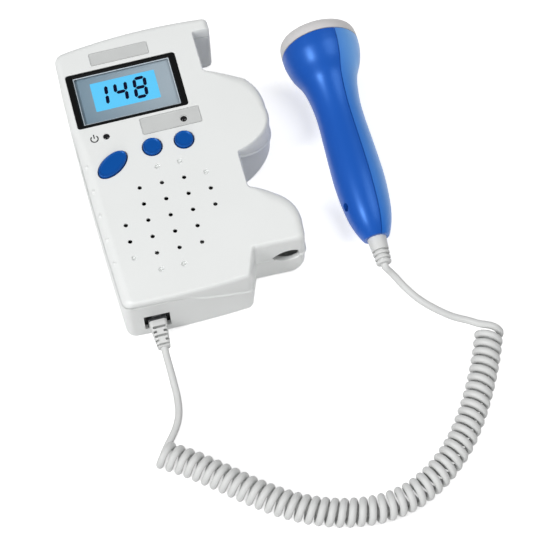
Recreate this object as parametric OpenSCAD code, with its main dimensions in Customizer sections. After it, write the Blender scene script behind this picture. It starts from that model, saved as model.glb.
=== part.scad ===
// Hand-held fetal heart monitor with its ultrasound probe on a curly lead.
// The unit lies on its back: +Z leaves the front panel and +Y runs towards the display.
// Plan sizes are taken from a datum at the lower left of the front panel, and the
// origin is the middle of the unit's back face.

/* [Housing] */
// Length of the unit
body_l = 140; // [138:0.5:146]
// Width of the unit from its left side to the floor of the probe's cradles
cradle_w = 70.6; // [69:0.2:74]
// How far the two lobes reach out past that floor
lobe_reach = 19.2; // [17:0.2:21]
// Thickness of the unit
body_t = 35; // [34:0.5:40]
// Wall of both housing shells
wall = 2.2; // [1.8:0.1:2.4]
// Rounding of the edge around the front panel
front_r = 3; // [2:0.1:3.4]
// Rounding of the edge around the back
back_r = 3; // [2:0.1:3.4]
// Extra width of the sloped band along the left side
band_w = 3.5; // [1:0.5:4]
// How far the lobes tuck in under their tips at the back
lobe_tuck = 7; // [3:0.5:8]
// Depth of the front shell below the panel at its left side
seam_drop = 4.5; // [4:0.1:6]
// Bore of the speaker holes
grille_d = 2; // [1.4:0.1:2.6]
// Column spacing of the speaker holes
grille_px = 10.4; // [9:0.1:11]
// Row spacing of the speaker holes
grille_py = 8.5; // [7.5:0.1:9]
// Diameter of the grip dots along the left side
dot_d = 2.6; // [1.6:0.1:3.2]
// Height of the strap slot
slot_h = 9.6; // [7:0.1:10]
// Length of the strap slot
slot_l = 13; // [10:0.1:13.5]

/* [Display] */
// Width of the black display frame
lcd_w = 52.6; // [48:0.2:53]
// Height of the black display frame
lcd_h = 29.6; // [27:0.2:31]
// Width of the glass that shows inside the frame
glass_w = 46; // [40:0.2:47]
// Height of the glass that shows inside the frame
glass_h = 25.6; // [20:0.2:26]
// Thickness of the clear window
window_t = 1; // [0.8:0.1:1.2]
// Diameter of the two indicator lamps
lamp_d = 3; // [2:0.1:3.6]

/* [Buttons] */
// Diameter of the two round buttons
key_d = 8.6; // [7:0.1:10]
// Length of the oval power button
power_l = 16.4; // [15:0.1:18.5]
// Width of the oval power button
power_w = 8.9; // [8:0.1:10]
// Turn of the power button's long side from the bottom edge
power_turn = 35; // [20:1:50]
// How far the buttons stand out of the panel
key_out = 1.3; // [1:0.1:1.8]
// How far a button travels
key_travel = 0.8; // [0.4:0.1:0.9]
// Gap around a button in its hole
key_gap = 0.35; // [0.3:0.05:0.5]

/* [Power] */
// Diameter of a battery cell
cell_d = 14.3; // [13.5:0.1:14.5]
// Length of a battery cell with its nib
cell_l = 50.4; // [48:0.1:50.5]
// Thickness of the battery door
door_t = 2; // [1.6:0.1:2.2]
// Gap around the battery door
door_gap = 0.3; // [0.2:0.05:0.4]

/* [Probe] */
// Diameter of the probe's head
head_d = 37.6; // [35:0.2:40]
// Length of the blue handle, from its tail to the face's rim
handle_l = 99; // [95:0.5:105]
// Widest diameter of the grip
grip_d = 24; // [22:0.1:26]
// Diameter of the waist below the head
waist_d = 22.2; // [20:0.1:23]
// Height of the pale face dome past the rim
face_h = 10.5; // [8:0.5:13]
// Wall of the probe's shells
probe_wall = 2; // [1.6:0.1:2.4]
// Slant of the joint between the handle and its pale face
face_slant = 8; // [0:1:10]

/* [Lead] */
// Diameter of the lead
lead_d = 3.4; // [3:0.05:3.45]
// Outer diameter of the curly part
coil_d = 13.3; // [12.5:0.1:14]
// Number of curls
curls = 47; // [40:1:47]
// Length of the ribbed boot behind the plug
boot_l = 12.5; // [10:0.5:14]
// Length of the tapered boot behind the probe
tail_l = 13; // [11:0.5:15]

/* [Hidden] */
$fn = 48;
datum = [45, 68];       // origin, seen from the datum corner
fit = 0.05;             // gap where a fixed piece seats on another
past = 20;              // cuts run this far past the housing
ceil_z = body_t - wall;

// Corners of the housing, anticlockwise: [x, y, radius, rounding of the next edge].
lobe_x = cradle_w + lobe_reach;
gate_x = cradle_w - 5;
tab_x = cradle_w + 3.2;
low_left = [1.8, -1.2, 4, 0.5];
low_right = [cradle_w - 10, -1, 3, 0.7];
lobe_root = [gate_x, 12.2, 0.8, 0.5];
lobe_heel = [lobe_x - 0.9, 11.2, 3.2, 1.3];
lobe_side = [lobe_x, 22, 0, 1.6];
lobe_back = [lobe_x - 8, 37.2, 0, 2];
cradle_low = [cradle_w, 43.8, 1.5, 0.25];
cradle_high = [cradle_w, body_l - 78.4, 1.5, 0.25];
wing_low = [lobe_x - 5.4, body_l - 71.7, 0, 0.5];
wing_tip = [lobe_x - 1, body_l - 58, 0, 1.2];
wing_high = [lobe_x - 6.6, body_l - 40.4, 0, 2];
gate_low = [gate_x, body_l - 31.2, 1.2, 0.25];
gate_high = [gate_x, body_l - 10.8, 1, 0.25];
tab_low = [tab_x, body_l - 10.8, 1.2, 1];
tab_high = [tab_x, body_l - 3.8, 2.5, 1];
top_left = [-0.8, body_l - 5.8, 5, 1];

// Points strictly between two corners on an arc that bulges outwards by sag.
// The rounding changes evenly from that of p to last.
function bow(p, q, sag, n, last = undef) =
    let (d = [q[0] - p[0], q[1] - p[1]], out = [d[1], -d[0]] / norm(d),
         change = is_undef(last) ? 0 : last - p[3])
    [for (i = [1 : n - 1])
        let (t = i / n, b = 4 * sag * t * (1 - t))
        [p[0] + d[0] * t + out[0] * b, p[1] + d[1] * t + out[1] * b, 0, p[3] + change * t]];

lower_part = concat(
    [low_left], bow(low_left, low_right, 1, 4), [low_right], [lobe_root], [lobe_heel],
    [lobe_side], bow(lobe_side, lobe_back, 2.2, 4, lobe_back[3]), [lobe_back],
    bow(lobe_back, cradle_low, 0.6, 2, cradle_low[3]), [cradle_low, cradle_high],
    bow(cradle_high, wing_low, 1, 3, wing_low[3]), [wing_low],
    bow(wing_low, wing_tip, 2, 4, wing_tip[3]), [wing_tip],
    bow(wing_tip, wing_high, 1.8, 4, wing_high[3]), [wing_high],
    bow(wing_high, gate_low, 0.4, 2, gate_low[3]), [gate_low]);
upper_part = concat(
    bow(tab_high, top_left, 2.6, 6), [top_left], bow(top_left, low_left, 1.2, 6));
outline = concat(lower_part, [gate_high, tab_low, tab_high], upper_part);
// The same outline without the solid tab at the top right.
inner_outline = concat(lower_part, [[gate_high[0], tab_high[1], 1, 1]], upper_part);

arc_steps = 4;
function unit(v) = v / norm(v);
function edge_normal(p, q) = unit([p[1] - q[1], q[0] - p[0]]);
function smooth(t) = let (u = min(1, max(0, t))) u * u * (3 - 2 * u);

// Corner i moved in by base, and by edge times each edge's own rounding.
function inset_corner(c, i, base, edge) =
    let (n = len(c), a = c[(i + n - 1) % n], p = c[i], b = c[(i + 1) % n],
         n1 = edge_normal(a, p), n2 = edge_normal(p, b),
         d1 = base + edge * a[3], d2 = base + edge * p[3],
         turn = n1[0] * n2[1] - n1[1] * n2[0],
         move = abs(turn) > 0.25
             ? [(d1 * n2[1] - d2 * n1[1]) / turn, (d2 * n1[0] - d1 * n2[0]) / turn]
             : (n1 + n2) * (d1 + d2) / 2 / (1 + n1 * n2))
    [p[0] + move[0], p[1] + move[1],
     p[2] == 0 ? 0 : turn > 0 ? max(p[2] - min(d1, d2), 0.4) : p[2] + max(d1, d2)];

// Points of corner i, rounded by its radius.
function round_corner(c, i) =
    let (n = len(c), p = [c[i][0], c[i][1]], r = c[i][2],
         a = c[(i + n - 1) % n], b = c[(i + 1) % n])
    r == 0 ? [p] :
    let (v1 = unit([a[0], a[1]] - p), v2 = unit([b[0], b[1]] - p),
         half = acos(v1 * v2) / 2, hub = p + unit(v1 + v2) * r / sin(half),
         s = p + v1 * r / tan(half) - hub, e = p + v2 * r / tan(half) - hub,
         sweep = 180 - 2 * half)
    [for (k = [0 : arc_steps])
        hub + (s * sin(sweep * (1 - k / arc_steps)) + e * sin(sweep * k / arc_steps)) / sin(sweep)];

function inset_outline(c, base, edge) =
    let (moved = [for (i = [0 : len(c) - 1]) inset_corner(c, i, base, edge)])
    [for (i = [0 : len(moved) - 1]) each round_corner(moved, i)];

// One level of the housing. turn runs from 0 at a flat face to 90 at the side wall.
band_end = body_l - 45;  // the sloped band begins below this height
function lobe_share(x) = smooth((x - cradle_w - 1.4) / 20);
function band_share(p) = max(0, 1 - p[0] / 10) * smooth((band_end - p[1]) / 20);
function back_ring(c, turn, base) =
    [for (p = inset_outline(c, base, back_r * (1 - sin(turn))))
        [p[0] - lobe_tuck * (1 - sin(turn)) * lobe_share(p[0]), p[1],
         base + (back_r + lobe_tuck * lobe_share(p[0])) * (1 - cos(turn))]];
function front_ring(c, turn, base) =
    [for (p = inset_outline(c, base, front_r * (1 - sin(turn))))
        [p[0] + band_w * (1 - sin(turn)) * band_share(p), p[1],
         body_t - base - (front_r + band_w / 3 * band_share(p)) * (1 - cos(turn))]];

// Closed skin through rings with equal numbers of points.
module skin(rings) {
    n = len(rings[0]);
    m = len(rings);
    polyhedron(
        points = [for (ring = rings) each ring],
        faces = concat(
            [[for (i = [0 : n - 1]) i]],
            [for (k = [0 : m - 2], i = [0 : n - 1])
                [k * n + i, (k + 1) * n + i, (k + 1) * n + (i + 1) % n, k * n + (i + 1) % n]],
            [[for (i = [n - 1 : -1 : 0]) (m - 1) * n + i]]));
}

// Ring b carried on a quarter further, away from ring a.
function carried(a, b) = [for (i = [0 : len(a) - 1]) b[i] + (b[i] - a[i]) / 4];

// Skin whose two ends are cut off flat at z0 and z1, where its end rings lie.
module flat_ended(rings, z0, z1) {
    m = len(rings);
    intersection() {
        skin(concat([carried(rings[1], rings[0])], [for (k = [1 : m - 2]) rings[k]],
                    [carried(rings[m - 2], rings[m - 1])]));
        block([-past, -past, z0], [lobe_x + past, body_l + past, z1]);
    }
}

module housing_form() {
    flat_ended(concat([for (turn = [0 : 30 : 90]) back_ring(outline, turn, 0)],
                      [for (turn = [90 : -30 : 0]) front_ring(outline, turn, 0)]), 0, body_t);
}

module housing_hollow() {
    flat_ended(concat([for (turn = [0 : 45 : 90]) back_ring(inner_outline, turn, wall)],
                      [for (turn = [90 : -45 : 0]) front_ring(inner_outline, turn, wall)]),
               wall, ceil_z);
}

module seated() {
    translate([-datum[0], -datum[1], 0]) children();
}

// ---- joint between the two shells ----
seam_left = body_t - seam_drop;
seam_dip = 4;            // drop of the swept line below the front edge
seam_rise = 1.5;         // drop of the line beside the display
seam_tip = body_t * 0.46;
seam_split = (cradle_low[1] + cradle_high[1]) / 2;  // the line changes level between the lobes
sweep_x0 = 28;           // the line drops from here to sweep_x1
sweep_x1 = 38;
fall_x0 = 36;            // and falls on evenly from here to fall_x1
fall_x1 = cradle_w - 8.6;
function sweep(x) = smooth((x - sweep_x0) / (sweep_x1 - sweep_x0));
function run(x, x0, x1) = min(1, max(0, (x - x0) / (x1 - x0)));
function seam_low(x) =
    seam_left - seam_dip * sweep(x) - (seam_left - seam_dip - body_t / 2) * run(x, fall_x0, fall_x1);
function seam_high(x) =
    seam_left - seam_rise * sweep(x)
    - (seam_left - seam_rise - seam_tip) * run(x, cradle_w, lobe_x + 2);
sweep_xs = [for (x = [sweep_x0 : 2 : sweep_x1]) x];

// Prism along Y from y0 to y1 with its outline given as [x, z].
module prism_y(y0, y1, points) {
    translate([0, y1, 0]) rotate([90, 0, 0]) linear_extrude(y1 - y0) polygon(points);
}

module above_seam() {
    top = body_t + past;
    prism_y(-past, seam_split, concat([[-past, top]],
        [for (x = concat([-past], sweep_xs, [fall_x1, lobe_x + past])) [x, seam_low(x)]],
        [[lobe_x + past, top]]));
    prism_y(seam_split, body_l + past, concat([[-past, top]],
        [for (x = concat([-past], sweep_xs, [cradle_w, lobe_x + 2, lobe_x + past])) [x, seam_high(x)]],
        [[lobe_x + past, top]]));
}

module block(low, high) {
    translate(low) cube(high - low);
}

// ---- case screws ----
screw_spots = [[7.2, body_l - 12.8], [cradle_w - 11.4, body_l - 13.6], [7.6, 24],
               [cradle_w + 5.9, 27], [cradle_w + 3.9, body_l - 55]];
screw_r = 1.3;
screw_head_r = 2.5;
screw_seat = 12.5;       // height of the head's seat over the back face
screw_web = 2.2;
screw_l = 13;
post_r = 3.8;
post_top = screw_seat + screw_web;

// ---- display ----
lcd_mid = [28.35, body_l - 33.6];
ledge = 1.2;
frame_t = 1;
frame_gap = 0.15;        // gap round the frame and round the window
frame_seat = body_t - frame_t - 0.15;
lcd_t = 5;
opening_w = lcd_w - 2 * ledge;
opening_h = lcd_h - 2 * ledge;
lcd_r = 1.4;             // corner radius of the frame
frame_slant = 0.7;       // the frame slopes in this far round the glass

module plate(mid, w, h, z0, z1) {
    block([mid[0] - w / 2, mid[1] - h / 2, z0], [mid[0] + w / 2, mid[1] + h / 2, z1]);
}

module round_plate(mid, w, h, r, z0, z1) {
    corner = [w / 2 - r, h / 2 - r];
    signs = [[1, 1], [-1, 1], [-1, -1], [1, -1]];
    translate([mid[0], mid[1], z0]) linear_extrude(z1 - z0)
        polygon([for (i = [0 : 3], a = [0 : 22.5 : 90])
            [corner[0] * signs[i][0], corner[1] * signs[i][1]] + r * [cos(90 * i + a), sin(90 * i + a)]]);
}

// ---- buttons ----
power_spot = [13.4, body_l - 70.2];
key_spots = [[33, body_l - 65.9], [48, body_l - 66]];
flange = 1.2;            // rim that keeps a button in its hole
flange_t = 0.8;
key_top = body_t + key_out;
flange_slack = 0.3;      // room over and under the rim of a button
flange_top = ceil_z - flange_slack;
flange_low = flange_top - flange_t - key_travel - flange_slack;
board_z = 22.4;
board_t = 1.6;
switch_h = 3.6;
switch_w = 6;
plunger_h = 0.9;
stem_z = board_z + board_t + switch_h + plunger_h + key_travel + 0.1;
ellipse_n = 40;
function oval(l, w) = [for (i = [0 : ellipse_n - 1])
    let (a = 360 * i / ellipse_n) [l / 2 * cos(a), w / 2 * sin(a)]];

// ---- speaker ----
grille_mid = [33, 38];
// Rows from the bottom up: the first and last column of holes that go through.
grille_rows = [[-1, 0], [-1, 1], [-2, 1], [-2, 2], [-1, 2], [-1, 1], [0, 1]];
blind_spots = [[0, 3], [1, 3], [2, 2], [-2, -2], [-1, -3], [0, -3]];
speaker_r = 18;
gasket_t = 0.8;
ring_wall = 1.2;
speaker_top = ceil_z - gasket_t - fit;
speaker_h = 12;
dimple_depth = 0.7;

module grille_cut() {
    for (row = [-3 : 3], col = [-2 : 2]) {
        span = grille_rows[row + 3];
        blind = len([for (b = blind_spots) if (b == [col, row]) 1]) > 0;
        if (blind || (col >= span[0] && col <= span[1]))
            translate([grille_mid[0] + col * grille_px, grille_mid[1] + row * grille_py,
                       blind ? body_t - dimple_depth : ceil_z - 1])
                cylinder(d = grille_d, h = wall + 3, $fn = 24);
    }
}

// ---- grip dots and strap slot ----
dot_spots = [[1.9, 73], [2.1, 60], [2.3, 47], [2.7, 34.5], [3.2, 22]];
slot_mid = [lobe_x - 8.6, 19.3];    // where the slot is tallest
slot_blunt = 0.6;        // its outer end is cut off at this share of its inner half
slot_deep = 9;

module strap_slot_cut() {
    reach = slot_l / (1 + slot_blunt);
    steps = [for (i = [0 : 16]) -1 + (1 + slot_blunt) * i / 16];
    translate([slot_mid[0], lobe_heel[1] + slot_deep, slot_mid[1]]) rotate([90, 0, 0])
        linear_extrude(slot_deep + 6)
            polygon(concat([for (t = steps) [reach * t, slot_h / 2 * (1 - t * t)]],
                           [for (i = [16 : -1 : 1]) let (t = steps[i])
                               [reach * t, -slot_h / 2 * (1 - t * t)]]));
}

module front_shell() {
    color("#EEF0EF") seated() difference() {
        union() {
            difference() {
                intersection() {
                    housing_form();
                    above_seam();
                }
                housing_hollow();
            }
            for (p = screw_spots)
                translate([p[0], p[1], post_top + fit])
                    cylinder(r = post_r, h = ceil_z + 0.5 - post_top - fit);
            translate([grille_mid[0], grille_mid[1], ceil_z - 6]) difference() {
                cylinder(r = speaker_r + 0.5 + ring_wall, h = 6.5);
                translate([0, 0, -1]) cylinder(r = speaker_r + 0.5, h = 9);
            }
            for (p = dot_spots)
                translate([p[0], p[1], body_t - 3.2]) sphere(d = dot_d, $fn = 24);
        }
        for (p = screw_spots)
            translate([p[0], p[1], post_top - 1])
                cylinder(r = screw_r + fit, h = screw_l - screw_web + 1.5);
        round_plate(lcd_mid, lcd_w, lcd_h, lcd_r, frame_seat, body_t + 1);
        plate(lcd_mid, opening_w, opening_h, ceil_z - 1, body_t + 1);
        for (p = key_spots)
            translate([p[0], p[1], ceil_z - 1]) cylinder(d = key_d + 2 * key_gap, h = wall + 3);
        translate([power_spot[0], power_spot[1], ceil_z - 1]) rotate(power_turn)
            linear_extrude(wall + 3) polygon(oval(power_l + 2 * key_gap, power_w + 2 * key_gap));
        translate([power_spot[0], power_spot[1], flange_low]) rotate(power_turn)
            linear_extrude(ceil_z - flange_low)
                polygon(oval(power_l + 2 * flange + 2 * key_gap, power_w + 2 * flange + 2 * key_gap));
        for (p = lamp_spots)
            translate([p[0], p[1], ceil_z - 1]) cylinder(d = lamp_d + 2 * fit, h = wall + 3);
        grille_cut();
        strap_slot_cut();
    }
}

// ---- battery bay and door ----
cell_gap = 0.5;
cell_x = [34, 34 + cell_d + cell_gap];
cell_z = door_t + 0.4 + cell_d / 2;
bay_x0 = cell_x[0] - cell_d / 2 - 0.4;
bay_x1 = cell_x[1] + cell_d / 2 + 0.4;
bay_y0 = 4.5;
contact_t = 0.5;
spring_l = 4.2;
bay_y1 = bay_y0 + cell_l + 2 * contact_t + spring_l + 1;
bay_top = cell_z + cell_d / 2 + 0.5;
tray_wall = 3;
tray_roof = 1.5;
door_x0 = bay_x0 - 1;
door_x1 = bay_x1 + 1;
door_y1 = bay_y1 + 1.2;
rail = 1;                // width of the door's side rails
rail_z0 = 0.8;
rail_z1 = door_t - 0.3;
grip_count = 5;          // thumb grooves across the outside of the door
grip_pitch = 2;
grip_w = 16;
grip_deep = 0.6;
grip_y = 13;

module rear_shell() {
    color("#E9EBEA") seated() difference() {
        union() {
            difference() {
                housing_form();
                above_seam();
                housing_hollow();
            }
            intersection() {
                housing_form();
                block([bay_x0 - tray_wall, bay_y0 - 3, 0.5],
                      [bay_x1 + tray_wall, bay_y1 + tray_wall, bay_top + tray_roof]);
            }
            for (p = screw_spots)
                translate([p[0], p[1], 0.5]) cylinder(r = post_r, h = post_top - 0.5);
            for (p = board_posts)
                translate([p[0], p[1], 0.5]) cylinder(r = 2.5, h = board_z - 0.5 - fit);
            block([socket_x - foot_w / 2, socket_y0 + 2, 0.5],
                  [socket_x + foot_w / 2, socket_y1 - 2, socket_z0 - fit]);
        }
        for (p = screw_spots) {
            translate([p[0], p[1], -1]) cylinder(r = screw_head_r + 0.2, h = screw_seat + 1);
            translate([p[0], p[1], -1]) cylinder(r = screw_r + fit, h = post_top + 3);
        }
        block([door_x0 - door_gap, -past, -1], [door_x1 + door_gap, door_y1 + door_gap, door_t + 0.2]);
        block([door_x0 - rail - door_gap, -past, rail_z0 - 0.2],
              [door_x1 + rail + door_gap, door_y1 + door_gap, rail_z1 + 0.2]);
        block([bay_x0, bay_y0, -1], [bay_x1, bay_y1, bay_top]);
        block([socket_x - window_w / 2, -past, window_z0],
              [socket_x + window_w / 2, socket_y0 - 0.1, window_z1]);
        strap_slot_cut();
    }
}

module battery_door() {
    color("#E9EBEA") seated() difference() {
        intersection() {
            housing_form();
            union() {
                block([door_x0, -past, -1], [door_x1, door_y1, door_t]);
                block([door_x0 - rail, -past, rail_z0], [door_x1 + rail, door_y1, rail_z1]);
            }
        }
        for (i = [0 : grip_count - 1])
            plate([(door_x0 + door_x1) / 2, grip_y + i * grip_pitch], grip_w, grip_pitch / 2,
                  -1, grip_deep);
    }
}

module battery_cells() {
    nib_r = 2.6;
    nib_h = 1.2;
    color("#3E7A4A") seated() for (i = [0, 1])
        translate([cell_x[i], i == 0 ? bay_y0 + contact_t + fit : bay_y1 - contact_t - fit, cell_z])
            rotate([i == 0 ? -90 : 90, 0, 0]) rotate_extrude() polygon([
                [0, 0], [nib_r, 0], [nib_r, nib_h], [cell_d / 2 - 0.8, nib_h],
                [cell_d / 2, nib_h + 0.8], [cell_d / 2, cell_l - 0.8],
                [cell_d / 2 - 0.8, cell_l], [0, cell_l]]);
}

// ---- tubes swept along a path ----
// ups holds one reference direction for each point.
function tangents(path) = [for (i = [0 : len(path) - 1])
    unit(path[min(i + 1, len(path) - 1)] - path[max(i - 1, 0)])];

module tube(path, ups, r, sides) {
    t = tangents(path);
    n = len(path);
    rings = [for (i = [0 : n - 1])
        let (u = unit(cross(t[i], ups[i])), v = cross(u, t[i]))
        each [for (k = [0 : sides - 1])
            let (a = 360 * (k + 0.5) / sides) path[i] + r * (cos(a) * u + sin(a) * v)]];
    polyhedron(points = rings, faces = concat(
        [[for (k = [sides - 1 : -1 : 0]) k]],
        [for (i = [0 : n - 2], k = [0 : sides - 1])
            let (a = i * sides + k, b = i * sides + (k + 1) % sides)
            each [[a, b, b + sides], [a, b + sides, a + sides]]],
        [[for (k = [0 : sides - 1]) (n - 1) * sides + k]]));
}

// Smooth curve through points, n steps between each pair.
function through(p, n) = concat(
    [for (i = [0 : len(p) - 2], k = [0 : n - 1])
        let (t = k / n, a = i == 0 ? 2 * p[0] - p[1] : p[i - 1], b = p[i], c = p[i + 1],
             d = i + 2 < len(p) ? p[i + 2] : 2 * p[i + 1] - p[i])
        0.5 * (2 * b + (c - a) * t + (2 * a - 5 * b + 4 * c - d) * t * t
               + (3 * b - a - 3 * c + d) * t * t * t)],
    [p[len(p) - 1]]);

// Running length at each point of a path.
function lengths(p, i = 0, sum = 0, out = []) =
    i == len(p) ? out :
    let (s = i == 0 ? 0 : sum + norm(p[i] - p[i - 1])) lengths(p, i + 1, s, concat(out, [s]));

contact_spring_turns = 4;
contact_spring_r = 0.35;
module contact_spring() {
    steps = 8 * contact_spring_turns;
    points = [for (i = [0 : steps])
        let (a = 45 * i, r = 4.6 - 2.2 * i / steps)
        [r * cos(a), r * sin(a), contact_spring_r + (spring_l - 2 * contact_spring_r) * i / steps]];
    tube(points, [for (p = points) [0, 0, 1]], contact_spring_r, 6);
}

module battery_contacts() {
    low = bay_y0 + fit;
    high = bay_y1 - fit;
    half = cell_d / 2 - 1.2;
    color("#C9CCCE") seated() for (i = [0, 1]) {
        for (y = [low, high - contact_t])
            block([cell_x[i] - half, y, cell_z - half],
                  [cell_x[i] + half, y + contact_t - fit, cell_z + half]);
        translate([cell_x[i], i == 0 ? high - contact_t - fit : low + contact_t, cell_z])
            rotate([i == 0 ? 90 : -90, 0, 0]) contact_spring();
    }
}

module case_screws() {
    color("#9CA0A4") seated() for (p = screw_spots) {
        translate([p[0], p[1], screw_seat - 2]) difference() {
            cylinder(r = screw_head_r, h = 2);
            translate([0, 0, -1]) cylinder(r = 1, h = 2.2, $fn = 6);
        }
        translate([p[0], p[1], screw_seat]) cylinder(r = screw_r, h = screw_l);
    }
}

// ---- display parts ----
module lcd_bezel() {
    color("#0B0B0B") seated() difference() {
        round_plate(lcd_mid, lcd_w - 2 * frame_gap, lcd_h - 2 * frame_gap, lcd_r - frame_gap,
                    frame_seat + fit, body_t - 0.1);
        hull() {
            plate(lcd_mid, glass_w, glass_h, frame_seat - 1, frame_seat + 0.3);
            plate(lcd_mid, glass_w + 2 * frame_slant, glass_h + 2 * frame_slant,
                  body_t - 0.1, body_t + 1);
        }
    }
}

module lcd_window() {
    color("#B9C4D6", 0.4) seated()
        plate(lcd_mid, opening_w - 2 * frame_gap, opening_h - 2 * frame_gap,
              frame_seat - window_t, frame_seat);
}

module lcd_module() {
    glass_top = ceil_z - fit;
    foot = 3;
    color("#8A93A8") seated() {
        plate(lcd_mid, opening_w, opening_h, glass_top - lcd_t, glass_top - 0.2);
        for (sx = [-1, 1], sy = [-1, 1])
            plate([lcd_mid[0] + sx * (opening_w - foot) / 2, lcd_mid[1] + sy * (opening_h - foot) / 2],
                  foot, foot, board_z + board_t + fit, glass_top - lcd_t + 0.5);
    }
}

lamp_spots = [[13.9, body_l - 55.1], [50.5, body_l - 55.1]];
module lamp(p) {
    seated() translate([p[0], p[1], board_z + board_t + fit]) rotate_extrude() polygon([
        [0, 0], [lamp_d / 2 + 0.4, 0], [lamp_d / 2 + 0.4, 1], [lamp_d / 2, 1],
        [lamp_d / 2, body_t - board_z - board_t - 0.5],
        for (a = [0 : 15 : 90])
            [lamp_d / 2 * cos(a), body_t - board_z - board_t - 0.5 + 0.6 * sin(a)]]);
}
module power_lamp() { color("#2A2A2C") lamp(lamp_spots[0]); }
module signal_lamp() { color("#2A2A2C") lamp(lamp_spots[1]); }

// ---- electronics ----
board_low = [5.5, body_l - 75];
board_high = [cradle_w - 9.1, body_l - 17.5];
post_in = [4.5, 3];      // posts stand this far in from the board's corners
board_posts = [for (x = [board_low[0] + post_in[0], board_high[0] - post_in[0]],
                    y = [board_low[1] + post_in[1], board_high[1] - post_in[1]]) [x, y]];
module main_board() {
    color("#2F6B46") seated() difference() {
        block([board_low[0], board_low[1], board_z], [board_high[0], board_high[1], board_z + board_t]);
        for (p = screw_spots)
            translate([p[0], p[1], board_z - 1]) cylinder(r = post_r + 0.4, h = board_t + 2);
    }
}

switch_spots = concat([power_spot], key_spots);
module tact_switches() {
    color("#3A3C40") seated() for (p = switch_spots) {
        plate(p, switch_w, switch_w, board_z + board_t + fit, board_z + board_t + switch_h);
        translate([p[0], p[1], board_z + board_t + switch_h - 0.5])
            cylinder(r = 1.7, h = plunger_h + 0.5);
    }
}

module round_key(p) {
    color("#1E5BB8") seated() translate([p[0], p[1], 0]) {
        rotate_extrude() polygon(concat(
            [[0, stem_z], [1.6, stem_z], [1.6, flange_top - flange_t],
             [key_d / 2 + flange, flange_top - flange_t], [key_d / 2 + flange, flange_top],
             [key_d / 2, flange_top], [key_d / 2, key_top - 0.9]],
            [for (a = [0 : 22.5 : 90])
                [key_d / 2 - 0.6 * (1 - cos(a)) - (a == 90 ? 0.2 : 0), key_top - 0.9 + 0.6 * sin(a)]],
            [for (i = [3 : -1 : 0]) let (t = i / 4) [key_d / 2 * t, key_top - 0.3 * t * t]]));
    }
}
module volume_down_button() { round_key(key_spots[0]); }
module volume_up_button() { round_key(key_spots[1]); }

module power_button() {
    rings = [[power_l, power_w, flange_top - 0.1], [power_l, power_w, key_top - 0.9],
             [power_l - 0.3, power_w - 0.3, key_top - 0.5], [power_l - 1.1, power_w - 1.1, key_top - 0.25],
             [power_l - 5, power_w - 5, key_top]];
    color("#1E5BB8") seated() translate([power_spot[0], power_spot[1], 0]) {
        rotate(power_turn) {
            skin([for (r = rings) [for (q = oval(r[0], r[1])) [q[0], q[1], r[2]]]]);
            translate([0, 0, flange_top - flange_t]) linear_extrude(flange_t)
                polygon(oval(power_l + 2 * flange, power_w + 2 * flange));
        }
        translate([0, 0, stem_z]) cylinder(r = 1.6, h = flange_top - stem_z - 0.2);
    }
}

module speaker() {
    color("#4A4C50") seated() translate([grille_mid[0], grille_mid[1], speaker_top - speaker_h])
        rotate_extrude() polygon([
            [0, 0], [10, 0], [10, 5], [speaker_r - 5, 6], [speaker_r - 1.5, speaker_h - 1.5],
            [speaker_r, speaker_h - 1.5], [speaker_r, speaker_h], [speaker_r - 2, speaker_h],
            [speaker_r - 4, speaker_h - 1], [speaker_r - 9, speaker_h - 4], [6, speaker_h - 4],
            [3, speaker_h - 3], [0, speaker_h - 2.6]]);
}

module speaker_gasket() {
    color("#2E3034") seated() translate([grille_mid[0], grille_mid[1], speaker_top])
        difference() {
            cylinder(r = speaker_r, h = gasket_t);
            translate([0, 0, -1]) cylinder(r = speaker_r - 2, h = gasket_t + 2);
        }
}

// ---- socket and plug ----
socket_x = 16;
plug_w = 8.8;
plug_h = 7.6;
plug_l = 13;
plug_z = 11.2;
plug_face = -1.6;
socket_gap = 0.35;
socket_z0 = 4.6;
socket_w = 14;
window_w = 12;
window_z0 = plug_z - plug_h / 2 - 0.6;
window_z1 = window_z0 + 13;
socket_y0 = 1.1;
socket_y1 = plug_face + plug_l + 2.2;
foot_w = 10;             // block of the rear shell that carries the socket

module probe_socket() {
    half = plug_w / 2 + socket_gap;
    color("#1A1A1C") seated() difference() {
        block([socket_x - socket_w / 2, socket_y0, socket_z0],
              [socket_x + socket_w / 2, socket_y1, window_z1 + 1.4]);
        block([socket_x - half, -5, plug_z - plug_h / 2 - socket_gap],
              [socket_x + half, plug_face + plug_l + socket_gap, window_z1 - 1.2]);
    }
}

latch_w = 4.2;
module lead_plug() {
    top = plug_z + plug_h / 2;
    end = plug_face + plug_l;
    color("#D9D8D4") seated() {
        block([socket_x - plug_w / 2, plug_face, plug_z - plug_h / 2], [socket_x + plug_w / 2, end, top]);
        translate([socket_x - latch_w / 2, 0, 0]) rotate([90, 0, 90]) linear_extrude(latch_w)
            polygon([[end - 0.6, top - 0.1], [end - 0.6, top + 0.6], [end - 2, top + 1.5],
                     [plug_face + 0.5, top + 2.8], [plug_face + 0.5, top + 1.8],
                     [end - 3.4, top + 0.5], [end - 3.4, top - 0.1]]);
    }
}

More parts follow.
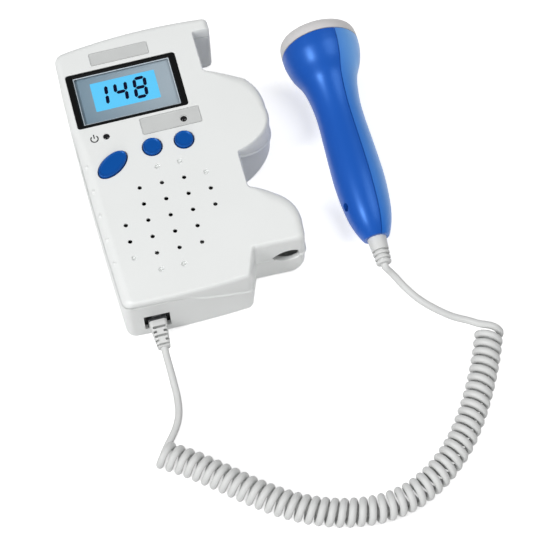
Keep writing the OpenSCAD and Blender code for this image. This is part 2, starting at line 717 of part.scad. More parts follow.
boot_w = 8.4;
boot_h = 7;
boot_tip_w = 5.8;
boot_tip_h = 4.8;
boot_drop = 1.4;         // the boot sags a little towards the lead
boot_tip = [socket_x, plug_face - boot_l, plug_z - boot_drop];
module plug_boot() {
    rows = 5;
    first_row = 3;
    row_pitch = (boot_l - 4.4) / (rows - 1);
    slot_half = 3;           // of the slots in the middle
    side_slot = [1.4, 3.2];  // from the middle to the two ends of a slot at the side
    slot_w = 0.9;
    color("#D6D6D3") seated() difference() {
        hull() {
            translate([socket_x, plug_face, plug_z]) rotate([90, 0, 0]) linear_extrude(1)
                offset(1.6, $fn = 24) square([boot_w - 3.2, boot_h - 3.2], center = true);
            translate([boot_tip[0], boot_tip[1] + 1, boot_tip[2]]) rotate([90, 0, 0]) linear_extrude(1)
                offset(1.6, $fn = 24) square([boot_tip_w - 3.2, boot_tip_h - 3.2], center = true);
        }
        for (row = [0 : rows - 1], side = [-1, 1]) {
            y = plug_face - first_row - row * row_pitch;
            mid = plug_z - boot_drop * (plug_face - y) / boot_l;
            z0 = side > 0 ? mid + 1.9 : mid - 7.9;
            if (row % 2 == 0)
                block([socket_x - slot_half, y - slot_w, z0], [socket_x + slot_half, y, z0 + 6]);
            else for (sx = [-1, 1])
                block([socket_x + min(sx * side_slot), y - slot_w, z0],
                      [socket_x + max(sx * side_slot), y, z0 + 6]);
        }
    }
}

// ---- probe ----
// Places along the probe's axis are measured from the blue tail.
probe_tail = [123.6, 14];
grip_at = 29;
waist_at = handle_l - 38;
probe_pitch = asin((head_d - grip_d) / 2 / (handle_l - grip_at));
probe_lift = 0.1;
tail_z = (grip_d / 2 + probe_lift) / cos(probe_pitch) - grip_at * tan(probe_pitch);
seam_roll = 21;          // the long joint lies this far round to the right of the top
face_power = 4;
tail_r = 6.3;
tail_wall = 3;           // solid end of the handle, round the boot
handle_curve = through([
    [tail_r, 0], [grip_d / 2 - 3, 6.5], [grip_d / 2 - 1.1, 15], [grip_d / 2, grip_at],
    [(grip_d + waist_d) / 4 + 0.15, (grip_at + waist_at) / 2], [waist_d / 2, waist_at],
    [waist_d / 2 + 0.4, handle_l - 28], [waist_d / 2 + 2.2, handle_l - 18],
    [head_d / 2 - 2.1, handle_l - 10.6], [head_d / 2 - 0.4, handle_l - 4.5],
    [head_d / 2, handle_l]], 3);
face_curve = [for (a = [15 : 15 : 90])
    [head_d / 2 * pow(cos(a), 2 / face_power), handle_l + face_h * pow(sin(a), 2 / face_power)]];
probe_curve = concat(handle_curve, face_curve);
hollow_curve = concat(
    [for (p = handle_curve) if (p[1] > tail_wall) [p[0] - probe_wall, p[1]]],
    [for (p = face_curve) [max(0, p[0] - probe_wall), p[1] - probe_wall * (p[1] - handle_l) / face_h]]);

module on_probe() {
    seated() translate([probe_tail[0], probe_tail[1], tail_z]) rotate([probe_pitch - 90, 0, 0]) children();
}

// All that lies past the slanted joint between the handle and the face.
module face_side() {
    translate([0, 0, handle_l]) rotate([-face_slant, 0, 0]) translate([-40, -40, 0]) cube(80);
}

probe_screw_at = 17;
probe_screw_r = 1.1;
probe_screw_head_r = 1.9;

module probe_half(side) {
    difference() {
        union() {
            difference() {
                rotate_extrude(angle = 180, $fn = 64)
                    polygon(concat([[0, 0]], probe_curve, [[0, handle_l]]));
                rotate_extrude($fn = 64) polygon(concat([[0, tail_wall]], hollow_curve));
            }
            intersection() {
                rotate_extrude(angle = 180, $fn = 64)
                    polygon(concat([[0, 0]], handle_curve, [[0, handle_l]]));
                translate([0, 0, probe_screw_at]) rotate([-90, 0, 0]) cylinder(r = 3.2, h = 20);
            }
        }
        translate([0, 0, -1]) cylinder(r = boot_root_r + fit, h = 6);
        translate([0, 0, 1.6]) cylinder(r = boot_collar_r + fit, h = 1.6);
        translate([0, -1, probe_screw_at]) rotate([-90, 0, 0])
            cylinder(r = probe_screw_r + fit, h = side ? 20 : 8.6);
        if (side) translate([0, 5, probe_screw_at]) rotate([-90, 0, 0])
            cylinder(r = probe_screw_head_r + 0.15, h = 20);
    }
}

module probe_front_shell() {
    color("#1E5BB8") on_probe() difference() {
        rotate(90 + seam_roll) probe_half(true);
        face_side();
    }
}

module probe_rear_shell() {
    color("#2F6ECB") on_probe() difference() {
        rotate(270 + seam_roll) probe_half(false);
        face_side();
    }
}

module probe_face() {
    color("#D8D6D6") on_probe() intersection() {
        difference() {
            rotate_extrude($fn = 64) polygon(concat([[0, 0]], probe_curve));
            rotate_extrude($fn = 64) polygon(concat([[0, tail_wall]], hollow_curve));
        }
        face_side();
    }
}

crystal_r = 2.3;
crystal_ring_r = 6.6;    // eight crystals stand round the one in the middle
crystal_mid_r = 3.4;
crystal_plate_r = crystal_ring_r + crystal_r + 1.1;
module transducer_discs() {
    top = handle_l + face_h - probe_wall - 0.35;
    color("#C8A24A") on_probe() {
        translate([0, 0, top - 2.6]) cylinder(r = crystal_plate_r, h = 1.6);
        for (a = [0 : 45 : 315])
            rotate(a) translate([crystal_ring_r, 0, top - 1.1]) cylinder(r = crystal_r, h = 1, $fn = 32);
        translate([0, 0, top - 1.1]) cylinder(r = crystal_mid_r, h = 1, $fn = 32);
    }
}

module probe_board() {
    half = waist_d / 2 - probe_wall - 0.6;
    low = grip_at + 1;
    color("#2F6B46") on_probe() rotate(seam_roll) translate([-half, -board_t / 2, low])
        cube([2 * half, board_t, handle_l - 13 - low]);
}

module probe_screw() {
    color("#55585E") on_probe() rotate(90 + seam_roll) translate([0, -5.8, probe_screw_at])
        rotate([-90, 0, 0]) {
            translate([0, 0, 0]) cylinder(r = probe_screw_r, h = 10.8);
            translate([0, 0, 10.8]) cylinder(r = probe_screw_head_r, h = 1.5);
        }
}

boot_root_r = 4.5;
boot_collar_r = 5.4;
tail_tip_r = 3.3;
module probe_boot() {
    grooves = 3;
    pitch = 2.2;
    color("#D8D8D6") on_probe() difference() {
        rotate_extrude($fn = 48) polygon([
            [0, 4.4], [boot_root_r, 4.4], [boot_root_r, 3.1], [boot_collar_r, 3.1], [boot_collar_r, 1.7],
            [boot_root_r, 1.7], [boot_root_r, 0], [boot_root_r - 0.3, -4], [tail_tip_r + 0.4, -tail_l + 1],
            [tail_tip_r, -tail_l], [0, -tail_l]]);
        for (i = [0 : grooves - 1])
            translate([0, 0, -tail_l + 1.4 + i * pitch]) difference() {
                cylinder(r = 8, h = 0.9);
                translate([0, 0, -1]) cylinder(r = tail_tip_r - 0.6, h = 3);
            }
    }
}

// ---- lead ----
rest_z = 0.1;            // the lead lies just clear of the surface
coil_route = [
    [3, -62], [15, -70.5], [26.5, -80], [37.5, -89.5], [49.5, -98.5], [62.5, -105.5], [76.5, -110],
    [91, -111.5], [105.5, -109], [118.5, -102.5], [130, -93], [139.5, -81.5], [147.5, -69],
    [154.5, -56], [160.5, -42.5]];
coil_path = through(coil_route, 6);
coil_run = lengths(coil_path);
coil_x = [for (i = [0 : len(coil_path) - 1]) [coil_run[i], coil_path[i][0]]];
coil_y = [for (i = [0 : len(coil_path) - 1]) [coil_run[i], coil_path[i][1]]];
coil_len = coil_run[len(coil_run) - 1];
coil_turns = curls + 0.5;
wind_r = (coil_d - lead_d) / 2;
function coil_mid(s) = [lookup(s, coil_x), lookup(s, coil_y), coil_d / 2 + rest_z];
function coil_side(s) =
    let (d = coil_mid(min(s + 4, coil_len)) - coil_mid(max(s - 4, 0))) unit([-d[1], d[0], 0]);
// The wire starts below the middle line, and climbs first on the side away from the unit.
function coil_out(s) =
    let (a = 360 * coil_turns * s / coil_len) -coil_side(s) * sin(a) - [0, 0, 1] * cos(a);
function coil_wire(s) = coil_mid(s) + wind_r * coil_out(s);
coil_steps = 8 * coil_turns;
coil_points = [for (i = [0 : coil_steps]) coil_wire(coil_len * i / coil_steps)];
coil_ups = [for (i = [0 : coil_steps]) coil_out(coil_len * i / coil_steps)];
start_dir = -coil_side(0);
end_dir = coil_side(coil_len);
coil_start = coil_points[0] - start_dir * lead_d;
coil_end = coil_points[coil_steps] + end_dir * lead_d;
gap_reach = 12;
coil_gap = min([for (i = [0 : coil_steps - 4], j = [i + 4 : min(i + gap_reach, coil_steps)])
    norm(coil_points[i] - coil_points[j])]) - lead_d;
echo(coil_gap = coil_gap, coil_length = coil_len);

module curly_cord() {
    color("#DADBDA") seated() tube(
        concat([coil_start], coil_points, [coil_end]),
        concat([coil_ups[0]], coil_ups, [coil_ups[coil_steps]]), lead_d / 2, 6);
}

lie_z = lead_d / 2 + rest_z;
unit_route = [[16, -18], [16.2, -23], [16.3, -29], [16.2, -36], [15, -43.5], [12, -50]];
unit_heights = [8.4, 5.6, 2.8, 1.8, 1.8, 1.8];
probe_axis = [0, cos(probe_pitch), sin(probe_pitch)];
tail_end = [probe_tail[0], probe_tail[1], tail_z] - probe_axis * tail_l;
probe_route = [[151.5, -37], [146, -32], [140.5, -25], [135, -17.5], [130.5, -10], [126.5, -3.5]];
probe_heights = [10.6, 7.4, 3.8, 1.8, 1.8, 4.6];

module free_stretch(first, first_dir, route, heights, last, last_dir) {
    middle = [for (i = [0 : len(route) - 1]) [route[i][0], route[i][1], max(heights[i], lie_z)]];
    path = concat([first], through(concat([first + first_dir * lead_d / 2], middle,
        [last - last_dir * lead_d / 2]), 2), [last]);
    color("#DADBDA") seated() tube(path, [for (p = path) [0, 0, 1]], lead_d / 2, 8);
}

module cord_unit_end() {
    free_stretch(boot_tip, [0, -1, 0], unit_route, unit_heights, coil_start, start_dir);
}

module cord_probe_end() {
    free_stretch(coil_end, end_dir, probe_route, probe_heights, tail_end, probe_axis);
}

front_shell();
rear_shell();
battery_door();
battery_cells();
battery_contacts();
case_screws();
lcd_bezel();
lcd_window();
lcd_module();
power_lamp();
signal_lamp();
main_board();
tact_switches();
power_button();
volume_down_button();
volume_up_button();
speaker();
speaker_gasket();
probe_socket();
lead_plug();
plug_boot();
cord_unit_end();
curly_cord();
cord_probe_end();
probe_boot();
probe_front_shell();
probe_rear_shell();
probe_face();
transducer_discs();
probe_board();
probe_screw();
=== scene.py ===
import math

import bmesh
import bpy
import numpy as np
from mathutils import Matrix, Vector


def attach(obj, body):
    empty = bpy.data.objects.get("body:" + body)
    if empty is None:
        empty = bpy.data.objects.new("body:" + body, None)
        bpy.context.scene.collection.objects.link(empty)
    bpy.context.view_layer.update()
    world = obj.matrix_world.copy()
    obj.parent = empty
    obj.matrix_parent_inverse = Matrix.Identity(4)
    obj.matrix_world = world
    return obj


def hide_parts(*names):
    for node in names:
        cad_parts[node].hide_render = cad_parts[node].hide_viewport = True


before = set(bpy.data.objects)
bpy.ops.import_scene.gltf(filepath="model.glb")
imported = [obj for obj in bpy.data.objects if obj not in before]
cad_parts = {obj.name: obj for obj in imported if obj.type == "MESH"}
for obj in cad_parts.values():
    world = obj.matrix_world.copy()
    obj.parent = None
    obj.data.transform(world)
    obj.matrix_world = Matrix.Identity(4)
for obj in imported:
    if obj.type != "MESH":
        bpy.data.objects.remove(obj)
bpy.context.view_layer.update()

MM = 0.001
DATUM = (45, 68)


def place(p):
    """A point in millimetres from the datum, as a place in the frame."""
    return Vector(((p[0] - DATUM[0]) * MM, (p[1] - DATUM[1]) * MM, p[2] * MM))


def unit(v):
    return np.array(v) / np.linalg.norm(v)


def smooth(t):
    """Goes from 0 to 1 without a kink as t does."""
    u = min(1, max(0, t))
    return u * u * (3 - 2 * u)


# ---- camera: at the photograph's viewing angle ----
FOCAL_PX = 2034.5        # focal length in pixels of a 550 x 556 picture
IMAGE_SIDE_PX = 556
SENSOR = 36
LOOK_DOWN = math.radians(64.69)
CAMERA_ROLL = math.radians(-1.78)
UNIT_TURN = math.radians(13.23)
AIM = (74.07, 11.11, 0)
AIM_DISTANCE = 942.4


def add_camera():
    data = bpy.data.cameras.new("camera")
    data.sensor_width = SENSOR
    data.lens = FOCAL_PX * SENSOR / IMAGE_SIDE_PX
    camera = bpy.data.objects.new("camera", data)
    bpy.context.collection.objects.link(camera)
    turn = (Matrix.Rotation(-UNIT_TURN, 4, "Z") @ Matrix.Rotation(math.pi / 2 - LOOK_DOWN, 4, "X")
            @ Matrix.Rotation(CAMERA_ROLL, 4, "Z"))
    back = turn.to_3x3() @ Vector((0, 0, AIM_DISTANCE * MM))
    camera.matrix_world = Matrix.Translation(place(AIM) + back) @ turn
    bpy.context.scene.camera = camera


add_camera()

# ---- probe's own frame: its axis rises from the tail to the head ----
PROBE_TAIL = (123.6, 14)
HEAD_D = 37.6
HANDLE_L = 99
GRIP_D = 24
GRIP_AT = 29
PROBE_LIFT = 0.1
SEAM_ROLL = 21
PITCH = math.asin((HEAD_D - GRIP_D) / 2 / (HANDLE_L - GRIP_AT))
TAIL_Z = (GRIP_D / 2 + PROBE_LIFT) / math.cos(PITCH) - GRIP_AT * math.tan(PITCH)
PROBE_AXIS = np.array([0, math.cos(PITCH), math.sin(PITCH)])
TAIL_L = 13
TAIL_CENTRE = np.array([*PROBE_TAIL, TAIL_Z])


def on_probe(p):
    """A point given across and along the probe's axis, seen from the datum."""
    down = np.array([0, math.sin(PITCH), -math.cos(PITCH)])
    return TAIL_CENTRE + p[0] * np.array([1, 0, 0]) + p[1] * down + p[2] * PROBE_AXIS


# ---- lead: one cord from the plug's boot, through the curls, to the probe's boot ----
LEAD_D = 3.4
COIL_D = 13.3
CURLS = 47
REST_Z = 0.1
SOCKET_X = 16
PLUG_FACE = -1.6
PLUG_Z = 11.2
PLUG_H = 7.6
BOOT_L = 12.5
BOOT_DROP = 1.4
BOOT_TIP = np.array([SOCKET_X, PLUG_FACE - BOOT_L, PLUG_Z - BOOT_DROP])
COIL_ROUTE = [
    (3, -62), (15, -70.5), (26.5, -80), (37.5, -89.5), (49.5, -98.5), (62.5, -105.5), (76.5, -110),
    (91, -111.5), (105.5, -109), (118.5, -102.5), (130, -93), (139.5, -81.5), (147.5, -69),
    (154.5, -56), (160.5, -42.5)]
UNIT_ROUTE = [(16, -18), (16.2, -23), (16.3, -29), (16.2, -36), (15, -43.5), (12, -50)]
UNIT_HEIGHTS = [8.4, 5.6, 2.8, 1.8, 1.8, 1.8]
PROBE_ROUTE = [(151.5, -37), (146, -32), (140.5, -25), (135, -17.5), (130.5, -10), (126.5, -3.5)]
PROBE_HEIGHTS = [10.6, 7.4, 3.8, 1.8, 1.8, 4.6]
CURL_STEPS = 32          # points on each curl
FREE_STEPS = 6           # points between two points of a free stretch's route


def through(points, steps):
    """A smooth curve through points, with steps between each pair."""
    p = [np.array(q, float) for q in points]
    out = []
    for i in range(len(p) - 1):
        a = 2 * p[0] - p[1] if i == 0 else p[i - 1]
        b, c = p[i], p[i + 1]
        d = p[i + 2] if i + 2 < len(p) else 2 * p[i + 1] - p[i]
        for k in range(steps):
            t = k / steps
            out.append(0.5 * (2 * b + (c - a) * t + (2 * a - 5 * b + 4 * c - d) * t * t
                              + (3 * b - a - 3 * c + d) * t ** 3))
    return out + [p[-1]]


def coil_line():
    """Points of the curls, and the directions in which their wire comes and goes."""
    path = np.array(through(COIL_ROUTE, 6))
    run = np.concatenate([[0], np.cumsum(np.linalg.norm(np.diff(path, axis=0), axis=1))])
    length = run[-1]
    wind_r = (COIL_D - LEAD_D) / 2

    def mid(s):
        s = min(max(s, 0), length)
        return np.array([np.interp(s, run, path[:, 0]), np.interp(s, run, path[:, 1]),
                         COIL_D / 2 + REST_Z])

    def side(s):
        d = mid(s + 4) - mid(s - 4)
        return unit([-d[1], d[0], 0])

    turns = CURLS + 0.5
    count = int(CURL_STEPS * turns)
    points = []
    for i in range(count + 1):
        s = length * i / count
        a = 2 * math.pi * turns * i / count
        points.append(mid(s) + wind_r * (-side(s) * math.sin(a) - np.array([0, 0, 1]) * math.cos(a)))
    return points, -side(0), side(length)


def free_stretch(first, first_dir, route, heights, last, last_dir):
    lie_z = LEAD_D / 2 + REST_Z
    middle = [(x, y, max(z, lie_z)) for (x, y), z in zip(route, heights)]
    ends = [first + first_dir * LEAD_D / 2, last - last_dir * LEAD_D / 2]
    return [first, *through([ends[0], *middle, ends[1]], FREE_STEPS), last]


def lead_line():
    coil, start_dir, end_dir = coil_line()
    coil_start = coil[0] - start_dir * LEAD_D
    coil_end = coil[-1] + end_dir * LEAD_D
    tail_end = TAIL_CENTRE - PROBE_AXIS * TAIL_L
    near_unit = free_stretch(BOOT_TIP, np.array([0, -1, 0]), UNIT_ROUTE, UNIT_HEIGHTS,
                             coil_start, start_dir)
    near_probe = free_stretch(coil_end, end_dir, PROBE_ROUTE, PROBE_HEIGHTS, tail_end, PROBE_AXIS)
    return near_unit + coil + near_probe


def add_lead():
    points = [place(p) for p in lead_line()]
    data = bpy.data.curves.new("curly_lead", "CURVE")
    data.dimensions = "3D"
    data.bevel_depth = LEAD_D / 2 * MM
    data.bevel_resolution = 5
    data.use_fill_caps = True
    spline = data.splines.new("POLY")
    spline.points.add(len(points) - 1)
    for point, p in zip(spline.points, points):
        point.co = (*p, 1)
    lead = bpy.data.objects.new("curly_lead", data)
    bpy.context.collection.objects.link(lead)
    length = sum((b - a).length for a, b in zip(points, points[1:]))
    return lead, length


lead, lead_length = add_lead()


# ---- modelling helpers: each leaves its piece as the one selected object ----
def alone(obj):
    bpy.ops.object.select_all(action="DESELECT")
    bpy.context.view_layer.objects.active = obj
    obj.select_set(True)
    return obj


def loft(name, rings):
    """A closed solid, extruded from a disc through rings of equally many points."""
    bpy.ops.object.select_all(action="DESELECT")
    bpy.ops.mesh.primitive_circle_add(vertices=len(rings[0]), fill_type="NGON")
    obj = bpy.context.object
    obj.name = name
    for vertex, p in zip(obj.data.vertices, rings[0]):
        vertex.co = place(p)
    numbers = {tuple(vertex.co): i for i, vertex in enumerate(obj.data.vertices)}
    bpy.ops.object.mode_set(mode="EDIT")
    bpy.ops.mesh.select_mode(type="FACE")
    bpy.ops.mesh.select_all(action="SELECT")
    for ring in rings[1:]:
        bpy.ops.mesh.extrude_region_move()
        cap = [vertex for vertex in bmesh.from_edit_mesh(obj.data).verts if vertex.select]
        places = [numbers[tuple(vertex.co)] for vertex in cap]
        for vertex, i in zip(cap, places):
            vertex.co = place(ring[i])
        numbers = {tuple(vertex.co): i for vertex, i in zip(cap, places)}
    bpy.ops.mesh.select_all(action="SELECT")
    bpy.ops.mesh.normals_make_consistent(inside=False)
    bpy.ops.object.mode_set(mode="OBJECT")
    return obj


def copy_of(obj, name):
    copy = obj.copy()
    copy.data = obj.data.copy()
    copy.name = name
    bpy.context.collection.objects.link(copy)
    return copy


def joined(pieces):
    """Pieces that don't touch, made one object."""
    bpy.ops.object.select_all(action="DESELECT")
    for piece in pieces:
        piece.select_set(True)
    bpy.context.view_layer.objects.active = pieces[0]
    bpy.ops.object.join()
    return pieces[0]


def combine(obj, cutter, operation="DIFFERENCE", keep=False):
    """Cuts, adds or keeps what the cutter covers. The cutter goes unless it is kept."""
    alone(obj)
    modifier = obj.modifiers.new("cut", "BOOLEAN")
    modifier.object = cutter
    modifier.operation = operation
    modifier.solver = "EXACT"
    bpy.ops.object.modifier_apply(modifier="cut")
    if not keep:
        bpy.data.objects.remove(cutter, do_unlink=True)
    return obj


def finished(obj, angle=30):
    """Clean, closed mesh whose round stretches shade smoothly and whose flats stay flat."""
    alone(obj)
    bpy.ops.object.mode_set(mode="EDIT")
    bpy.ops.mesh.select_all(action="SELECT")
    bpy.ops.mesh.remove_doubles(threshold=0.002 * MM)
    bpy.ops.mesh.dissolve_degenerate(threshold=0.001 * MM)
    bpy.ops.mesh.select_all(action="SELECT")
    bpy.ops.mesh.normals_make_consistent(inside=False)
    bpy.ops.object.mode_set(mode="OBJECT")
    bpy.ops.object.shade_smooth_by_angle(angle=math.radians(angle))
    weights = obj.modifiers.new("weights", "WEIGHTED_NORMAL")
    weights.keep_sharp = True
    bpy.ops.object.modifier_apply(modifier="weights")
    return obj


# ---- shapes given as rings ----
def circle_ring(centre, radius, z, count=40):
    return [(centre[0] + radius * math.cos(a), centre[1] + radius * math.sin(a), z)
            for a in (2 * math.pi * k / count for k in range(count))]


def turned(name, centre, profile, count=40):
    """A solid turned about a vertical axis from (radius, height) points."""
    return loft(name, [circle_ring(centre, r, z, count) for r, z in profile])


def rect_ring(centre, width, height, radius, z, steps=5):
    corners = [(1, 1), (-1, 1), (-1, -1), (1, -1)]
    ring = []
    for i, (sx, sy) in enumerate(corners):
        for k in range(steps + 1):
            a = math.pi / 2 * (i + k / steps)
            ring.append((centre[0] + sx * (width / 2 - radius) + radius * math.cos(a),
                         centre[1] + sy * (height / 2 - radius) + radius * math.sin(a), z))
    return ring


def slab(name, centre, width, height, radius, heights_and_insets):
    """A round-cornered plate from (height, inset) pairs."""
    return loft(name, [rect_ring(centre, width - 2 * inset, height - 2 * inset,
                                 max(radius - inset, 0.05), z) for z, inset in heights_and_insets])


def box(name, low, high):
    centre = ((low[0] + high[0]) / 2, (low[1] + high[1]) / 2)
    x, y = (high[0] - low[0]) / 2, (high[1] - low[1]) / 2
    corners = [(centre[0] + sx * x, centre[1] + sy * y) for sx, sy in ((1, 1), (-1, 1), (-1, -1), (1, -1))]
    return loft(name, [[(*c, z) for c in corners] for z in (low[2], high[2])])


def quarter_turn(steps=4):
    """Angles from 0 to a right angle, for a rounded edge."""
    return [math.pi / 2 * k / steps for k in range(steps + 1)]


def rim(radius, z, flare):
    """Profile of a hole's mouth that opens out by flare at height z."""
    return [(radius + flare * (1 - math.cos(a)), z - flare * (1 - math.sin(a))) for a in quarter_turn()]


# ---- housing: sizes that its pieces share ----
BODY_L = 140
CRADLE_W = 70.6          # from the left side to the floor of the probe's cradles
LOBE_X = CRADLE_W + 19.2
GATE_X = CRADLE_W - 5
TAB_X = CRADLE_W + 3.2
BODY_T = 35
WALL = 2.2
CEILING = BODY_T - WALL
FRONT_R = 3
BACK_R = 3
BAND_W = 3.5             # extra width of the sloped band along the left side
BAND_REACH = 10          # the band fades out this far in from the side,
BAND_END = BODY_L - 45   # and up to here,
BAND_FADE = 20           # over this length
LOBE_TUCK = 7            # how far the lobes tuck in under their tips
LOBE_START = CRADLE_W + 1.4
LOBE_FADE = 20           # the tuck grows over this width
FIT = 0.05
CORNER_STEPS = 8
ROLL_STEPS = 8

# Corners of the outline, anticlockwise: x, y, radius, rounding of the next edge.
LOW_LEFT = (1.8, -1.2, 4, 0.5)
LOW_RIGHT = (CRADLE_W - 10, -1, 3, 0.7)
LOBE_ROOT = (GATE_X, 12.2, 0.8, 0.5)
LOBE_HEEL = (LOBE_X - 0.9, 11.2, 3.2, 1.3)
LOBE_SIDE = (LOBE_X, 22, 0, 1.6)
LOBE_BACK = (LOBE_X - 8, 37.2, 0, 2)
CRADLE_LOW = (CRADLE_W, 43.8, 1.5, 0.25)
CRADLE_HIGH = (CRADLE_W, BODY_L - 78.4, 1.5, 0.25)
WING_LOW = (LOBE_X - 5.4, BODY_L - 71.7, 0, 0.5)
WING_TIP = (LOBE_X - 1, BODY_L - 58, 0, 1.2)
WING_HIGH = (LOBE_X - 6.6, BODY_L - 40.4, 0, 2)
GATE_LOW = (GATE_X, BODY_L - 31.2, 1.2, 0.25)
GATE_HIGH = (GATE_X, BODY_L - 10.8, 1, 0.25)
TAB_LOW = (TAB_X, BODY_L - 10.8, 1.2, 1)
TAB_HIGH = (TAB_X, BODY_L - 3.8, 2.5, 1)
TOP_LEFT = (-0.8, BODY_L - 5.8, 5, 1)
INNER_HIGH = (GATE_X, BODY_L - 2.9, 1, 1)        # the tab past it is solid


def bow(p, q, sag, count, last=None):
    """Corners between p and q on an arc that bulges outwards, whose rounding changes evenly."""
    along = np.array(q[:2], float) - p[:2]
    out = unit([along[1], -along[0]])
    change = 0 if last is None else last - p[3]
    corners = []
    for i in range(1, count):
        t = i / count
        x, y = p[:2] + along * t + out * 4 * sag * t * (1 - t)
        corners.append((x, y, 0, p[3] + change * t))
    return corners


def outline(with_tab=True):
    corners = [
        LOW_LEFT, *bow(LOW_LEFT, LOW_RIGHT, 1, 10), LOW_RIGHT, LOBE_ROOT, LOBE_HEEL, LOBE_SIDE,
        *bow(LOBE_SIDE, LOBE_BACK, 2.2, 8, LOBE_BACK[3]), LOBE_BACK,
        *bow(LOBE_BACK, CRADLE_LOW, 0.6, 4, CRADLE_LOW[3]), CRADLE_LOW, CRADLE_HIGH,
        *bow(CRADLE_HIGH, WING_LOW, 1, 6, WING_LOW[3]), WING_LOW,
        *bow(WING_LOW, WING_TIP, 2, 8, WING_TIP[3]), WING_TIP,
        *bow(WING_TIP, WING_HIGH, 1.8, 8, WING_HIGH[3]), WING_HIGH,
        *bow(WING_HIGH, GATE_LOW, 0.4, 4, GATE_LOW[3]), GATE_LOW]
    if with_tab:
        corners += [GATE_HIGH, TAB_LOW, TAB_HIGH, *bow(TAB_HIGH, TOP_LEFT, 2.6, 10)]
    else:
        corners += [INNER_HIGH, *bow(INNER_HIGH, TOP_LEFT, 2.2, 9)]
    return corners + [TOP_LEFT, *bow(TOP_LEFT, LOW_LEFT, 1.2, 10)]


def edge_normal(p, q):
    """Direction into the outline from the edge p to q."""
    return unit([p[1] - q[1], q[0] - p[0]])


def inset_corner(corners, i, base, edge):
    """Corner i moved in by base, and by edge times each edge's own rounding."""
    a, p, b = corners[i - 1], corners[i], corners[(i + 1) % len(corners)]
    n1, n2 = edge_normal(a, p), edge_normal(p, b)
    d1, d2 = base + edge * a[3], base + edge * p[3]
    turn = n1[0] * n2[1] - n1[1] * n2[0]
    if abs(turn) > 0.25:
        move = np.array([d1 * n2[1] - d2 * n1[1], d2 * n1[0] - d1 * n2[0]]) / turn
    else:
        move = (n1 + n2) * (d1 + d2) / 2 / (1 + n1 @ n2)
    if p[2] == 0:
        radius = 0
    elif turn > 0:
        radius = max(p[2] - min(d1, d2), 0.4)
    else:
        radius = p[2] + max(d1, d2)
    return p[0] + move[0], p[1] + move[1], radius


def round_corner(corners, i):
    """Points of corner i's arc, or the corner itself where its radius is 0."""
    p, radius = np.array(corners[i][:2]), corners[i][2]
    if radius == 0:
        return [p]
    v1 = unit(np.array(corners[i - 1][:2]) - p)
    v2 = unit(np.array(corners[(i + 1) % len(corners)][:2]) - p)
    half = math.acos(v1 @ v2) / 2
    hub = p + unit(v1 + v2) * radius / math.sin(half)
    start = p + v1 * radius / math.tan(half) - hub
    end = p + v2 * radius / math.tan(half) - hub
    sweep = math.pi - 2 * half
    steps = [k / CORNER_STEPS for k in range(CORNER_STEPS + 1)]
    return [hub + (start * math.sin(sweep * (1 - t)) + end * math.sin(sweep * t)) / math.sin(sweep)
            for t in steps]


def inset_outline(corners, base, edge=0):
    """The rounded outline, drawn in by base and by edge times each edge's rounding."""
    moved = [inset_corner(corners, i, base, edge) for i in range(len(corners))]
    return [p for i in range(len(moved)) for p in round_corner(moved, i)]


def run(x, x0, x1):
    """How far x has come from x0 to x1, from 0 to 1."""
    return min(1, max(0, (x - x0) / (x1 - x0)))


def lobe_share(x):
    return smooth((x - LOBE_START) / LOBE_FADE)


def band_share(p):
    return max(0, 1 - p[0] / BAND_REACH) * smooth((BAND_END - p[1]) / BAND_FADE)


def back_ring(corners, turn, base):
    """A level of the back's roll. turn runs from 0 at the flat back to 90 degrees at the side."""
    ring = []
    for x, y in inset_outline(corners, base, BACK_R * (1 - math.sin(turn))):
        share = lobe_share(x)
        ring.append((x - LOBE_TUCK * (1 - math.sin(turn)) * share, y,
                     base + (BACK_R + LOBE_TUCK * share) * (1 - math.cos(turn))))
    return ring


def front_ring(corners, turn, base):
    """A level of the front's roll, which slopes along the left side."""
    ring = []
    for x, y in inset_outline(corners, base, FRONT_R * (1 - math.sin(turn))):
        share = band_share((x, y))
        ring.append((x + BAND_W * (1 - math.sin(turn)) * share, y,
                     BODY_T - base - (FRONT_R + BAND_W / 3 * share) * (1 - math.cos(turn))))
    return ring


TURNS = quarter_turn(ROLL_STEPS)

# ---- joint between the two shells ----
SEAM_LEFT = BODY_T - 4.5
SEAM_DIP = 4             # drop of the swept line below the front edge
SEAM_RISE = 1.5          # drop of the line beside the display
SEAM_TIP = BODY_T * 0.46
SWEEP_X = (28, 38)       # the line sweeps down between these,
FALL_X = (36, CRADLE_W - 8.6)        # and falls on between these below the cradle,
TIP_X = (CRADLE_W, LOBE_X + 2)       # or between these above it
SEAM_SPLIT = (CRADLE_LOW[1] + CRADLE_HIGH[1]) / 2
SEAM_GAP = 0.3
REAR_LIP = 0.4           # rounding of the rear shell's rim
BEAD = 0.75              # the front shell's rim stands out this far where the joint sweeps down
BEAD_X = (29, 37)        # it grows between these
BEAD_Y = (100, 108)      # and fades between these, so that the tab is plain
BEAD_LEVELS = [          # height over the rim, inset of the plain rim, inset of the beaded rim
    (0, 0.3, 0.15), (0.06, 0.12, -0.35), (0.2, 0.02, -0.65), (0.35, 0, -BEAD), (0.55, 0, -0.7),
    (0.9, 0, -0.4), (1.2, 0, -0.12), (1.5, 0, 0)]


def seam(x, y):
    """Height of the joint: it sweeps down past the grille and falls along the lobes."""
    swept = smooth(run(x, *SWEEP_X))
    if y < SEAM_SPLIT:
        fall = (SEAM_LEFT - SEAM_DIP - BODY_T / 2) * run(x, *FALL_X)
        return SEAM_LEFT - SEAM_DIP * swept - fall
    fall = (SEAM_LEFT - SEAM_RISE - SEAM_TIP) * run(x, *TIP_X)
    return SEAM_LEFT - SEAM_RISE * swept - fall


